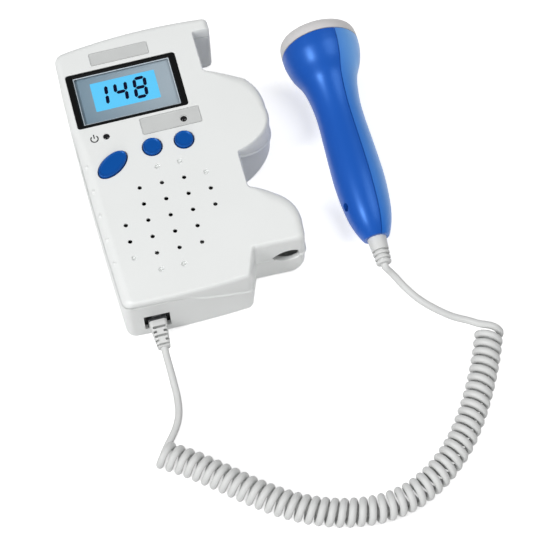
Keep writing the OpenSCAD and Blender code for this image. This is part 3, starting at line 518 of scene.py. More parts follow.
def rear_lip(corners):
    """The rounded rim of the rear shell, up to its mating face."""
    return [[(x, y, seam(x, y) - SEAM_GAP / 2 - REAR_LIP * (1 - math.sin(a)))
             for x, y in inset_outline(corners, REAR_LIP * (1 - math.cos(a)))]
            for a in quarter_turn()]


def front_lip(corners):
    """The front shell's rim, up from its mating face, with its bead along the swept line."""
    rings = []
    for height, plain, beaded in BEAD_LEVELS:
        ring = []
        for p, q in zip(inset_outline(corners, plain), inset_outline(corners, beaded)):
            x, y = p + (q - p) * smooth(run(p[0], *BEAD_X)) * (1 - smooth(run(p[1], *BEAD_Y)))
            ring.append((x, y, seam(*p) + SEAM_GAP / 2 + height))
        rings.append(ring)
    return rings


def rear_form():
    corners = outline()
    return loft("rear_shell_moulding", [back_ring(corners, turn, 0) for turn in TURNS]
                + rear_lip(corners))


def front_form():
    corners = outline()
    return loft("front_shell_moulding", front_lip(corners)
                + [front_ring(corners, turn, 0) for turn in TURNS[::-1]])


def housing_form(name, inset=0, with_tab=True):
    """Both shells' shape as one solid, drawn in by inset."""
    corners = outline(with_tab)
    return loft(name, [back_ring(corners, turn, inset) for turn in TURNS]
                + [front_ring(corners, turn, inset) for turn in TURNS[::-1]])


# ---- places on the front panel ----
LCD_MID = (28.35, BODY_L - 33.6)
LCD_W = 52.6
LCD_H = 29.6
LCD_R = 1.4
GLASS_W = 46
GLASS_H = 25.6
LEDGE = 1.2
FRAME_SEAT = BODY_T - 1.15
POWER_SPOT = (13.4, BODY_L - 70.2)
POWER_L = 16.4
POWER_W = 8.9
POWER_TURN = math.radians(35)
KEY_SPOTS = [(33, BODY_L - 65.9), (48, BODY_L - 66)]
KEY_D = 8.6
KEY_GAP = 0.45
KEY_TOP = BODY_T + 1.3
KEY_TRAVEL = 0.8
FLANGE = 1.2
FLANGE_T = 0.8
FLANGE_SLACK = 0.3       # over and under a key's flange
FLANGE_TOP = CEILING - FLANGE_SLACK
BOARD_Z = 22.4
BOARD_T = 1.6
SWITCH_H = 3.6
PLUNGER_H = 0.9
STEM_Z = BOARD_Z + BOARD_T + SWITCH_H + PLUNGER_H + KEY_TRAVEL + 0.1
LAMP_SPOTS = [(13.9, BODY_L - 55.1), (50.5, BODY_L - 55.1)]
LAMP_D = 3
PLATES = {"upper_label_plate": ((15.4, 123.5), (43.1, 130)),
          "lower_label_plate": ((30.6, 81.3), (58.4, 89.8))}
PLATE_GAP = 0.22         # fine gap round a plate in its recess
PLATE_SEAT = 0.45
PLATE_R = 0.6
GRILLE_MID = (33, 38)
GRILLE_STEP = (10.4, 8.5)
GRILLE_D = 2
GRILLE_ROWS = [(-1, 0), (-1, 1), (-2, 1), (-2, 2), (-1, 2), (-1, 1), (0, 1)]
BLIND_SPOTS = [(0, 3), (1, 3), (2, 2), (-2, -2), (-1, -3), (0, -3)]
HOLE_LAND = 0.9          # the panel is relieved behind each open hole to this thickness
PIP_R = 0.4              # of the pip in the middle of a blind hole
DIMPLE_GROW = 0.25       # a blind hole's radius is this much more than an open one's
DIMPLE_DEPTH = 0.9
KEY_FLARE = 0.3          # rounding of the holes' mouths
FINE_FLARE = 0.15
SPEAKER_R = 18
COLLAR_FIT = 0.5         # the collar stands this far off the speaker
COLLAR_WALL = 1.2
COLLAR_L = 6
DOT_SPOTS = [(1.9, 72), (2.1, 59), (2.3, 46), (2.7, 33.5), (3.2, 21)]
DOT_D = 2.6
DOT_SINK = 1.6           # middle of each dot below the panel's face
SLOT_MID = (LOBE_X - 8.6, 19.3)      # where the slot is tallest
SLOT_L = 13
SLOT_H = 9.6
SLOT_BLUNT = 0.6         # its outer end is cut off at this share of its inner half
SLOT_DEEP = 9
SLOT_LIP = 0.9           # rounding of its mouth
SLOT_CORNER = 0.12       # share of its inner half over which the blunt end rounds off
SCREW_SPOTS = [(7.2, BODY_L - 12.8), (CRADLE_W - 11.4, BODY_L - 13.6), (7.6, 24),
               (CRADLE_W + 5.9, 27), (CRADLE_W + 3.9, BODY_L - 55)]
SCREW_R = 1.3
SCREW_HEAD_R = 2.5
SCREW_SEAT = 12.5
POST_R = 3.8
POST_TOP = SCREW_SEAT + 2.2


def oval_ring(length, width, z, count=72):
    """An ellipse about the power key's middle, turned with it."""
    ring = []
    for k in range(count):
        a = 2 * math.pi * k / count
        x, y = length / 2 * math.cos(a), width / 2 * math.sin(a)
        ring.append((POWER_SPOT[0] + x * math.cos(POWER_TURN) - y * math.sin(POWER_TURN),
                     POWER_SPOT[1] + x * math.sin(POWER_TURN) + y * math.cos(POWER_TURN), z))
    return ring


def flared_hole(centre, radius, low, flare, count=40):
    """A cutter for a round hole from low up through the panel, with a rounded mouth."""
    return turned("hole", centre, [(radius, low), *rim(radius, BODY_T, flare),
                                   (radius + flare, BODY_T + 1)], count)


def blind_hole(spot):
    """A hole left closed: the cutter is a ring that leaves a pip in the middle."""
    floor, radius = BODY_T - DIMPLE_DEPTH, GRILLE_D / 2 + DIMPLE_GROW
    return turned("hole", spot, [(PIP_R - 0.3, BODY_T - 0.05), (PIP_R - 0.15, BODY_T - 0.07),
                                 (PIP_R, BODY_T - 0.2), (PIP_R + 0.1, floor), (radius, floor),
                                 *rim(radius, BODY_T, 0.2), (radius + 0.2, BODY_T + 1)], 32)


def plate_cutter():
    """The shallow recesses of the label plates."""
    cutters = []
    for low, high in PLATES.values():
        centre = ((low[0] + high[0]) / 2, (low[1] + high[1]) / 2)
        cutters.append(slab("hole", centre, high[0] - low[0] + 2 * PLATE_GAP,
                            high[1] - low[1] + 2 * PLATE_GAP, PLATE_R + PLATE_GAP,
                            [(BODY_T - PLATE_SEAT, 0), (BODY_T + 1, 0)]))
    return joined(cutters)


def grille_spots():
    """Places of the open holes over the speaker, and of the blind ones that carry the pattern on."""
    spots, blind = [], []
    for row in range(-3, 4):
        first, last = GRILLE_ROWS[row + 3]
        for column in range(-2, 3):
            spot = (GRILLE_MID[0] + column * GRILLE_STEP[0], GRILLE_MID[1] + row * GRILLE_STEP[1])
            if (column, row) in BLIND_SPOTS:
                blind.append(spot)
            elif first <= column <= last:
                spots.append(spot)
    return spots, blind


def cut_grille(shell):
    """The speaker's holes, relieved from behind, and the blind ones."""
    spots, blind = grille_spots()
    combine(shell, joined([post(p, GRILLE_D, CEILING - 1, BODY_T - HOLE_LAND) for p in spots]))
    combine(shell, joined([flared_hole(p, GRILLE_D / 2, CEILING - 1, FINE_FLARE, 24) for p in spots]))
    combine(shell, joined([blind_hole(p) for p in blind]))


def panel_cutter():
    """The holes for the keys, the lamps and the display, as one object."""
    cutters = [flared_hole(p, KEY_D / 2 + KEY_GAP, CEILING - 1, KEY_FLARE, 56) for p in KEY_SPOTS]
    cutters += [flared_hole(p, LAMP_D / 2 + FIT, CEILING - 1, FINE_FLARE, 32) for p in LAMP_SPOTS]
    mouth = [(0, CEILING - 1), *rim(0, BODY_T, KEY_FLARE), (KEY_FLARE, BODY_T + 1)]
    cutters.append(loft("hole", [oval_ring(POWER_L + 2 * (KEY_GAP + r), POWER_W + 2 * (KEY_GAP + r), z)
                                 for r, z in mouth]))
    cutters.append(slab("hole", LCD_MID, LCD_W, LCD_H, LCD_R,
                        [(FRAME_SEAT, 0), (BODY_T - 0.25, 0), (BODY_T - 0.08, -0.06),
                         (BODY_T, -0.2), (BODY_T + 1, -0.2)]))
    return joined(cutters)


def slot_cutter():
    """The strap slot in the end of the lower lobe: a lens with a blunt end and a rounded mouth."""
    reach = SLOT_L / (1 + SLOT_BLUNT)
    steps = [-1, -0.97, -0.9, *np.linspace(-0.8, SLOT_BLUNT - SLOT_CORNER, 12),
             *(SLOT_BLUNT - SLOT_CORNER * (1 - math.sin(a)) for a in quarter_turn(6)[1:])]

    def half(t):
        return SLOT_H / 2 * (1 - t * t) * math.sqrt(min(1, max(0, (SLOT_BLUNT - t) / SLOT_CORNER)))

    def lens(y, grow):
        ends = {0: -grow, len(steps) - 1: grow}
        upper = [(reach * t + ends.get(i, 0), y, SLOT_MID[1] + half(t) + grow * (i not in ends))
                 for i, t in enumerate(steps)]
        lower = [(x, y, 2 * SLOT_MID[1] - z) for x, y, z in upper[-2:0:-1]]
        return [(SLOT_MID[0] + x, y, z) for x, y, z in upper + lower]

    face = LOBE_HEEL[1]
    mouth = [(face + SLOT_LIP * (1 - math.sin(a)), SLOT_LIP * (1 - math.cos(a)))
             for a in quarter_turn(5)]
    return loft("slot", [lens(face + SLOT_DEEP, 0), *[lens(y, grow) for y, grow in mouth],
                         lens(face - 6, SLOT_LIP)])


def post(centre, radius, low, high):
    return turned("post", centre, [(radius, low), (radius, high)], 40)


def make_front_shell():
    """The front moulding, with its collar, posts, grip dots and every hole in the panel."""
    shell = front_form()
    combine(shell, housing_form("hollow", WALL, False))
    inner = SPEAKER_R + COLLAR_FIT
    collar = combine(post(GRILLE_MID, inner + COLLAR_WALL, CEILING - COLLAR_L, CEILING + 0.5),
                     post(GRILLE_MID, inner, CEILING - COLLAR_L - 1, CEILING + 3))
    posts = [post(p, POST_R, POST_TOP + FIT, CEILING + 0.5) for p in SCREW_SPOTS]
    combine(shell, joined([collar, *posts]), "UNION")
    for x, y in DOT_SPOTS:
        bpy.ops.object.select_all(action="DESELECT")
        bpy.ops.mesh.primitive_uv_sphere_add(segments=32, ring_count=20, radius=DOT_D / 2 * MM,
                                             location=place((x, y, BODY_T - DOT_SINK)))
        dot = bpy.context.object
        bpy.ops.object.transform_apply(location=True, rotation=True, scale=True)
        combine(shell, dot, "UNION")
    pocket = 2 * (FLANGE + KEY_GAP)
    flange_low = FLANGE_TOP - FLANGE_T - (KEY_TRAVEL + FLANGE_SLACK)
    screws = [post(p, SCREW_R + FIT, POST_TOP - 1, SCREW_SEAT + 13.5) for p in SCREW_SPOTS]
    combine(shell, joined(screws))
    combine(shell, loft("pocket", [oval_ring(POWER_L + pocket, POWER_W + pocket, z)
                                   for z in (flange_low, CEILING)]))
    combine(shell, panel_cutter())
    cut_grille(shell)
    combine(shell, plate_cutter())
    combine(shell, slab("opening", LCD_MID, LCD_W - 2 * LEDGE, LCD_H - 2 * LEDGE, 0.4,
                        [(CEILING - 1, 0), (FRAME_SEAT + 0.5, 0)]))
    combine(shell, slot_cutter())
    return finished(shell)


# ---- battery bay, door and socket ----
CELL_D = 14.3
CELL_L = 50.4
CELL_X = (34, 34 + CELL_D + 0.5)
CONTACT_T = 0.5
SPRING_L = 4.2
DOOR_T = 2
DOOR_GAP = 0.3
BAY_Y = 4.5
BAY_GAP = 0.4            # beside and under the cells
CELL_Z = DOOR_T + BAY_GAP + CELL_D / 2
BAY_LOW = (CELL_X[0] - CELL_D / 2 - BAY_GAP, BAY_Y)
BAY_HIGH = (CELL_X[1] + CELL_D / 2 + BAY_GAP, BAY_Y + CELL_L + 2 * CONTACT_T + SPRING_L + 1)
BAY_TOP = CELL_Z + CELL_D / 2 + 0.5
TRAY_WALL = 3
DOOR_X = (BAY_LOW[0] - 1, BAY_HIGH[0] + 1)
DOOR_END = BAY_HIGH[1] + 1.2
RAIL = 1
RAIL_Z = (0.8, DOOR_T - 0.3)
RAIL_GAP = 0.2           # over and under the rails and the door
DOOR_START = -10         # the cutters for the door start here, past the end face
GRIP_GROOVES = 5
GRIP_PITCH = 2
GRIP_Y = 13              # of the first groove
GRIP_L = 16
FLOOR_IN = 0.5           # inner walls start here, inside the back's wall
SOCKET_Z0 = 4.6
FOOT_W = 10
FOOT_Y = (3.1, 11.6)
WINDOW_W = 12
WINDOW_LOW = PLUG_Z - PLUG_H / 2 - 0.6
WINDOW_Z = (WINDOW_LOW, WINDOW_LOW + 13)
WINDOW_STEPS = [(1, 0), (-1.7, 0), (-1.9, 0.15), (-6, 0.15)]         # depth, and how far it opens out
BOARD_POST_R = 2.5
WELL_R = SCREW_HEAD_R + 0.2
BOARD_POSTS = [(x, y) for x in (10, CRADLE_W - 13.6) for y in (BODY_L - 72, BODY_L - 20.5)]


def make_rear_shell():
    """The rear moulding, with its battery tray, posts, screw wells and the socket's window."""
    shell = rear_form()
    combine(shell, housing_form("hollow", WALL, False))
    tray = box("tray", (BAY_LOW[0] - TRAY_WALL, BAY_LOW[1] - TRAY_WALL, FLOOR_IN),
               (BAY_HIGH[0] + TRAY_WALL, BAY_HIGH[1] + TRAY_WALL, BAY_TOP + 1.5))
    foot = box("foot", (SOCKET_X - FOOT_W / 2, FOOT_Y[0], FLOOR_IN),
               (SOCKET_X + FOOT_W / 2, FOOT_Y[1], SOCKET_Z0 - FIT))
    posts = [post(p, POST_R, FLOOR_IN, POST_TOP) for p in SCREW_SPOTS]
    posts += [post(p, BOARD_POST_R, FLOOR_IN, BOARD_Z - FIT) for p in BOARD_POSTS]
    combine(shell, joined([tray, foot, *posts]), "UNION")
    well = [(WELL_R + 0.3, -1), (WELL_R + 0.3, 0), (WELL_R, 0.3), (WELL_R, SCREW_SEAT),
            (SCREW_R + FIT, SCREW_SEAT), (SCREW_R + FIT, POST_TOP + 2)]
    combine(shell, joined([turned("well", p, well) for p in SCREW_SPOTS]))
    combine(shell, box("door_recess", (DOOR_X[0] - DOOR_GAP, DOOR_START, -1),
                       (DOOR_X[1] + DOOR_GAP, DOOR_END + DOOR_GAP, DOOR_T + RAIL_GAP)))
    combine(shell, box("rail_recess", (DOOR_X[0] - RAIL - DOOR_GAP, DOOR_START, RAIL_Z[0] - RAIL_GAP),
                       (DOOR_X[1] + RAIL + DOOR_GAP, DOOR_END + DOOR_GAP, RAIL_Z[1] + RAIL_GAP)))
    combine(shell, box("bay", (*BAY_LOW, -1), (*BAY_HIGH, BAY_TOP)))
    window = []
    for y, grow in WINDOW_STEPS:
        left, right = SOCKET_X - WINDOW_W / 2 - grow, SOCKET_X + WINDOW_W / 2 + grow
        low, high = WINDOW_Z[0] - grow, WINDOW_Z[1] + grow
        window.append([(left, y, low), (right, y, low), (right, y, high), (left, y, high)])
    combine(shell, loft("window", window))
    combine(shell, slot_cutter())
    return finished(shell)


def make_battery_door():
    """The door, cut from the housing's own shape so that it lies flush, with its two rails."""
    door = housing_form("battery_door_moulding")
    door_solid = combine(box("door", (DOOR_X[0], DOOR_START, -1), (DOOR_X[1], DOOR_END, DOOR_T)),
                         box("rails", (DOOR_X[0] - RAIL, DOOR_START, RAIL_Z[0]),
                             (DOOR_X[1] + RAIL, DOOR_END, RAIL_Z[1])), "UNION")
    combine(door, door_solid, "INTERSECT")
    middle = (DOOR_X[0] + DOOR_X[1]) / 2
    for i in range(GRIP_GROOVES):
        y = GRIP_Y + GRIP_PITCH * i
        groove = [(y + 0.5 * math.cos(a), -0.1 + 0.7 * math.sin(a))
                  for a in (math.pi * k / 8 for k in range(9))]
        bar = [[(x, py, pz) for py, pz in groove + [(y - 0.5, -1), (y + 0.5, -1)]]
               for x in (middle - GRIP_L / 2, middle + GRIP_L / 2)]
        combine(door, loft("groove", bar))
    return finished(door)


# ---- display ----
FRAME_GAP = 0.15
FRAME_SLANT = 0.7        # the frame slopes in this far round the glass
FRAME_TOP = BODY_T - 0.1
EDGE_W = 0.42            # of the window's polished edge
GLASS_FACE = CEILING - FIT - 0.2
LIT_MID = (27.9, 107.8)
LIT_W = 30.8
LIT_H = 15.4
FILM_T = 0.05
DIGIT_H = 10.1           # between the middles of the top and bottom strokes
DIGIT_W = 4.9
DIGIT_PITCH = 9.25
DIGIT_X = 14.2
DIGIT_SLANT = 0.08
STROKE = 1.65
STROKE_GAP = 0.2         # between neighbouring strokes, at each pointed end
READING = "148"
STROKES = {"1": "bc", "4": "bcfg", "8": "abcdefg"}


def make_lcd_bezel():
    """Black frame, rounded outside and sloped inside down to the window."""
    bezel = slab("lcd_bezel_frame", LCD_MID, LCD_W - 2 * FRAME_GAP, LCD_H - 2 * FRAME_GAP,
                 LCD_R - FRAME_GAP, [(FRAME_SEAT + FIT, 0), (FRAME_TOP - 0.22, 0),
                                     (FRAME_TOP - 0.07, 0.07), (FRAME_TOP, 0.22)])
    combine(bezel, slab("window", LCD_MID, GLASS_W, GLASS_H, 0.3,
                        [(FRAME_SEAT - 1, 0), (FRAME_SEAT + 0.25, 0), (FRAME_TOP - 0.05, -FRAME_SLANT),
                         (FRAME_TOP + 1, -FRAME_SLANT - 0.1)]))
    return finished(bezel)


def make_window_edge():
    """The polished slanted edge of the clear window, inside the frame."""
    edge = slab("lcd_window_edge", LCD_MID, GLASS_W - 0.04, GLASS_H - 0.04, 0.3,
                [(FRAME_SEAT + FIT, 0), (FRAME_SEAT + 0.3, 0), (FRAME_SEAT + 0.32, 0.08)])
    combine(edge, slab("cut", LCD_MID, GLASS_W - 2 * EDGE_W, GLASS_H - 2 * EDGE_W, 0.3,
                       [(FRAME_SEAT - 1, 0), (FRAME_SEAT + 0.1, 0), (FRAME_SEAT + 0.32, -EDGE_W + 0.12),
                        (FRAME_SEAT + 1, -EDGE_W + 0.12)]))
    return finished(edge)


def make_lit_area():
    """A thin film over the display's middle, which glows."""
    return finished(slab("display_lit_area", LIT_MID, LIT_W, LIT_H, 0.4,
                         [(GLASS_FACE, 0), (GLASS_FACE + FILM_T, 0)]))


def stroke(p, q):
    """One stroke of a digit, pointed at both ends."""
    p, q = np.array(p, float), np.array(q, float)
    along = unit(q - p)
    across = np.array([-along[1], along[0]]) * STROKE / 2
    start, end = p + along * STROKE_GAP, q - along * STROKE_GAP
    shoulder = along * STROKE / 2
    outline_points = [start, start + shoulder - across, end - shoulder - across,
                      end, end - shoulder + across, start + shoulder + across]
    return loft("stroke", [[(x + DIGIT_SLANT * (y - LIT_MID[1]), y, z) for x, y in outline_points]
                           for z in (GLASS_FACE + FILM_T, GLASS_FACE + 2 * FILM_T)])


def make_digits():
    """A plain number in seven-stroke digits."""
    strokes = []
    for i, digit in enumerate(READING):
        left = DIGIT_X + i * DIGIT_PITCH
        right = left + DIGIT_W
        low, mid, high = (LIT_MID[1] + k * DIGIT_H / 2 for k in (-1, 0, 1))
        ends = {"a": ((left, high), (right, high)), "b": ((right, high), (right, mid)),
                "c": ((right, mid), (right, low)), "d": ((left, low), (right, low)),
                "e": ((left, mid), (left, low)), "f": ((left, high), (left, mid)),
                "g": ((left, mid), (right, mid))}
        strokes += [stroke(*ends[letter]) for letter in STROKES[digit]]
    digits = joined(strokes)
    digits.name = "display_digits"
    return finished(digits)


# ---- bare label plates and the printed sign ----
SIGN_MID = (8.3, 85)
SIGN_R = (1.95, 1.4)     # of the broken ring, outside and inside
SIGN_RING = [math.radians(130 + 280 * k / 28) for k in range(29)]
SIGN_BAR_W = 0.56
SIGN_BAR_Y = (0.2, 2.3)


def make_label_plate(name):
    """A thin bare plate with a raised border, let into the panel."""
    low, high = PLATES[name]
    centre = ((low[0] + high[0]) / 2, (low[1] + high[1]) / 2)
    plate = slab(name, centre, high[0] - low[0], high[1] - low[1], PLATE_R,
                 [(BODY_T - PLATE_SEAT + FIT, 0), (BODY_T + 0.04, 0), (BODY_T + 0.1, 0.06),
                  (BODY_T + 0.1, 0.32), (BODY_T + 0.02, 0.44)])
    if name == "lower_label_plate":
        combine(plate, post(LAMP_SPOTS[1], LAMP_D / 2 + 0.35, BODY_T - 1, BODY_T + 1))
    return finished(plate)


def make_power_sign():
    """A broken ring with an upright bar, printed beside the power lamp."""
    levels = (BODY_T - 0.02, BODY_T + 0.03)
    arc = [(r * math.cos(a), r * math.sin(a)) for r, turn in zip(SIGN_R, (SIGN_RING, SIGN_RING[::-1]))
           for a in turn]
    ring = loft("printed_power_sign", [[(SIGN_MID[0] + x, SIGN_MID[1] + y, z) for x, y in arc]
                                       for z in levels])
    bar = box("bar", (SIGN_MID[0] - SIGN_BAR_W / 2, SIGN_MID[1] + SIGN_BAR_Y[0], levels[0]),
              (SIGN_MID[0] + SIGN_BAR_W / 2, SIGN_MID[1] + SIGN_BAR_Y[1], levels[1]))
    return finished(joined([ring, bar]))


# ---- keys ----
STEM_R = 1.6
KEY_LEVELS = [           # height, and how far the outline is drawn in
    (FLANGE_TOP - FLANGE_T, -FLANGE), (FLANGE_TOP - 0.1, -FLANGE), (FLANGE_TOP, -FLANGE + 0.1),
    (FLANGE_TOP, 0), (KEY_TOP - 0.9, 0), (KEY_TOP - 0.5, 0.05), (KEY_TOP - 0.24, 0.15),
    (KEY_TOP - 0.06, 0.28), (KEY_TOP, 0.4), (KEY_TOP - 0.04, 0.52), (KEY_TOP - 0.36, 0.92),
    (KEY_TOP - 0.42, 1.1), (KEY_TOP - 0.34, 2), (KEY_TOP - 0.3, 3)]


def make_round_key(name, spot):
    """A round key with a raised rim round its face, a flange and a stem."""
    profile = [(STEM_R, STEM_Z), (STEM_R, FLANGE_TOP - FLANGE_T)]
    profile += [(KEY_D / 2 - inset, z) for z, inset in KEY_LEVELS]
    return finished(turned(name, spot, profile, 64))


def make_power_key():
    """The oval key, with the same rim and flange over a round stem."""
    rings = [circle_ring(POWER_SPOT, STEM_R, z, 72) for z in (STEM_Z, FLANGE_TOP - FLANGE_T)]
    rings += [oval_ring(POWER_L - 2 * inset, POWER_W - 2 * inset, z) for z, inset in KEY_LEVELS]
    return finished(loft("power_key", rings))


# ---- case screws ----
SCREW_L = 13
SCREW_HEAD_H = 2
THREAD_PITCH = 0.9
THREAD_DEPTH = 0.2
RECESS_L = 3
RECESS_W = 0.7


def make_case_screws():
    """Pan-head screws with a cross recess and a threaded shank, seen from the back."""
    face = SCREW_SEAT - SCREW_HEAD_H
    profile = [(1.6, face), (2.1, face + 0.12), (SCREW_HEAD_R - 0.08, face + 0.5),
               (SCREW_HEAD_R, face + 0.9), (SCREW_HEAD_R, SCREW_SEAT),
               (SCREW_R - THREAD_DEPTH, SCREW_SEAT)]
    turns = int((SCREW_L - 2) / THREAD_PITCH)
    for k in range(turns):
        z = SCREW_SEAT + 0.5 + k * THREAD_PITCH
        profile += [(SCREW_R - THREAD_DEPTH, z), (SCREW_R, z + THREAD_PITCH / 2)]
    profile += [(SCREW_R - THREAD_DEPTH, SCREW_SEAT + SCREW_L - 1.2), (0.3, SCREW_SEAT + SCREW_L)]
    first = SCREW_SPOTS[0]
    screw = turned("case_screw_set", first, profile, 32)
    for w, h in ((RECESS_L, RECESS_W), (RECESS_W, RECESS_L)):
        combine(screw, box("recess", (first[0] - w / 2, first[1] - h / 2, face - 1),
                           (first[0] + w / 2, first[1] + h / 2, face + 1.2)))
    screws = [screw]
    for spot in SCREW_SPOTS[1:]:
        copy = copy_of(screw, "case_screw")
        copy.data.transform(Matrix.Translation(place((*spot, 0)) - place((*first, 0))))
        screws.append(copy)
    return finished(joined(screws))


# ---- plug and its boot ----
PLUG_W = 8.8
PLUG_L = 13
LATCH_W = 4.2
BOOT_W = 8.4
BOOT_H = 7
BOOT_TIP_W = 5.8
BOOT_TIP_H = 4.8
BOOT_ROWS = 5
BOOT_FIRST_ROW = 3
BOOT_ROW_PITCH = (BOOT_L - 4.4) / (BOOT_ROWS - 1)
BOOT_R = 1.6
PLUG_R = 0.6
POCKET_SPANS = [[(-3, 3)], [(-3.2, -1.4), (1.4, 3.2)]]    # across the boot, in every other row
POCKET_W = 1.15
POCKET_FLOOR = 0.5       # from the boot's middle plane


def upright_ring(y, width, height, radius, z):
    """A round-cornered outline that stands square to Y."""
    return [(x, y, v) for x, v, _ in rect_ring((SOCKET_X, z), width, height, radius, 0)]


def make_lead_plug():
    """The plug's moulded body with its sprung latch."""
    end = PLUG_FACE + PLUG_L
    top = PLUG_Z + PLUG_H / 2
    steps = [(PLUG_FACE, 0.3), (PLUG_FACE + 0.3, 0), (end - 0.4, 0), (end, 0.4)]
    body = loft("lead_plug_moulding", [upright_ring(y, PLUG_W - 2 * inset, PLUG_H - 2 * inset, PLUG_R,
                                                    PLUG_Z) for y, inset in steps])
    side = [(end - 0.6, top - 0.1), (end - 0.6, top + 0.6), (end - 2, top + 1.5),
            (PLUG_FACE + 0.5, top + 2.8), (PLUG_FACE + 0.5, top + 1.8),
            (end - 3.4, top + 0.5), (end - 3.4, top - 0.1)]
    latch = loft("latch", [[(x, y, z) for y, z in side]
                           for x in (SOCKET_X - LATCH_W / 2, SOCKET_X + LATCH_W / 2)])
    return finished(combine(body, latch, "UNION"))


def make_plug_boot():
    """A tapered boot with staggered pockets, which slopes down towards the lead."""
    def ring(along, inset):
        t = along / BOOT_L
        return upright_ring(PLUG_FACE - along, BOOT_W + (BOOT_TIP_W - BOOT_W) * t - 2 * inset,
                            BOOT_H + (BOOT_TIP_H - BOOT_H) * t - 2 * inset, BOOT_R,
                            PLUG_Z - BOOT_DROP * t)
    boot = loft("plug_boot_moulding", [ring(0, 0.35), ring(0.1, 0.1), ring(0.4, 0)]
                + [ring(BOOT_L * k / 8, 0) for k in range(1, 8)]
                + [ring(BOOT_L - 0.5, 0), ring(BOOT_L - 0.15, 0.15), ring(BOOT_L, 0.5)])
    pockets = []
    for row in range(BOOT_ROWS):
        along = BOOT_FIRST_ROW + row * BOOT_ROW_PITCH
        y = PLUG_FACE - along
        mid = PLUG_Z - BOOT_DROP * along / BOOT_L
        for low, high in POCKET_SPANS[row % 2]:
            for z0, z1 in ((mid + POCKET_FLOOR, mid + 7), (mid - 7, mid - POCKET_FLOOR)):
                centre = (SOCKET_X + (low + high) / 2, y - 0.45)
                pockets.append(slab("pocket", centre, high - low, POCKET_W, 0.3, [(z0, 0), (z1, 0)]))
    return finished(combine(boot, joined(pockets)))


# ---- probe ----
WAIST_D = 22.2
WAIST_AT = HANDLE_L - 38
FACE_H = 10.5
FACE_SLANT = math.radians(8)
FACE_POWER = 4
PROBE_WALL = 2
TAIL_R = 6.3
TAIL_WALL = 3
JOINT_GAP = 0.4          # width of the grooves along the joints
JOINT_DEPTH = 0.8
PROBE_SCREW_AT = 17
PROBE_SCREW_R = 1.1
PROBE_SCREW_HEAD_R = 1.9
HANDLE_CURVE = through([
    (TAIL_R, 0), (GRIP_D / 2 - 3, 6.5), (GRIP_D / 2 - 1.1, 15), (GRIP_D / 2, GRIP_AT),
    ((GRIP_D + WAIST_D) / 4 + 0.15, (GRIP_AT + WAIST_AT) / 2), (WAIST_D / 2, WAIST_AT),
    (WAIST_D / 2 + 0.4, HANDLE_L - 28), (WAIST_D / 2 + 2.2, HANDLE_L - 18),
    (HEAD_D / 2 - 2.1, HANDLE_L - 10.6), (HEAD_D / 2 - 0.4, HANDLE_L - 4.5),
    (HEAD_D / 2, HANDLE_L)], 6)
FACE_ANGLES = [3, 8, *range(14, 71, 8), 77, 83, 87, 89.5]
FACE_CURVE = [(HEAD_D / 2 * math.cos(a) ** (2 / FACE_POWER),
               HANDLE_L + FACE_H * math.sin(a) ** (2 / FACE_POWER)) for a in map(math.radians, FACE_ANGLES)]
SEAM_TURN = math.radians(270 + SEAM_ROLL)
SCREW_TURN = math.radians(180 + SEAM_ROLL)


def probe_ring(radius, z, count=80):
    """A circle round the probe's axis."""
    return [on_probe((radius * math.cos(a), radius * math.sin(a), z))
            for a in (2 * math.pi * k / count for k in range(count))]


def probe_form(name, inset=0):
    """The whole probe's outer shape, drawn in by inset."""
    tail = [(TAIL_R - 0.5 - inset, inset), (TAIL_R - 0.15 - inset, 0.12 + inset)]
    handle = [(r - inset, z) for r, z in HANDLE_CURVE if z > 0.4 + inset]
    face = [(max(r - inset, 0.2), z - inset * (z - HANDLE_L) / FACE_H) for r, z in FACE_CURVE]
    return loft(name, [probe_ring(r, z) for r, z in tail + handle + face])


def probe_hollow():
    """The space inside the probe."""
    handle = [(r - PROBE_WALL, z) for r, z in HANDLE_CURVE if z > TAIL_WALL]
    face = [(max(r - PROBE_WALL, 0.2), z - PROBE_WALL * (z - HANDLE_L) / FACE_H) for r, z in FACE_CURVE]
    return loft("hollow", [probe_ring(r, z) for r, z in [(handle[0][0], TAIL_WALL), *handle, *face]])


def probe_block(name, low, high, z0, z1):
    """A block square to the probe's screw, from low to high along it."""
    seam_way = np.array([math.cos(SEAM_TURN), math.sin(SEAM_TURN)])
    screw_way = np.array([math.cos(SCREW_TURN), math.sin(SCREW_TURN)])
    corners = [seam_way * u + screw_way * v for u, v in ((-60, low), (60, low), (60, high), (-60, high))]
    return loft(name, [[on_probe((*c, z)) for c in corners] for z in (z0, z1)])


def face_block(name, low, high):
    """A block along the slanted joint between the handle and its face."""
    tilt, rise = math.sin(FACE_SLANT), math.cos(FACE_SLANT)
    return loft(name, [[on_probe((x, v * rise + w * tilt, HANDLE_L - v * tilt + w * rise))
                        for x, v in ((-40, -40), (40, -40), (40, 40), (-40, 40))] for w in (low, high)])


def screw_bar(name, profile, count=32):
    """A solid turned about the probe's screw from (radius, distance from the axis) points."""
    seam_way = np.array([math.cos(SEAM_TURN), math.sin(SEAM_TURN)])
    screw_way = np.array([math.cos(SCREW_TURN), math.sin(SCREW_TURN)])
    rings = []
    for r, out in profile:
        ring = []
        for a in (2 * math.pi * k / count for k in range(count)):
            x, y = screw_way * out + seam_way * r * math.cos(a)
            ring.append(on_probe((x, y, PROBE_SCREW_AT + r * math.sin(a))))
        rings.append(ring)
    return loft(name, rings)


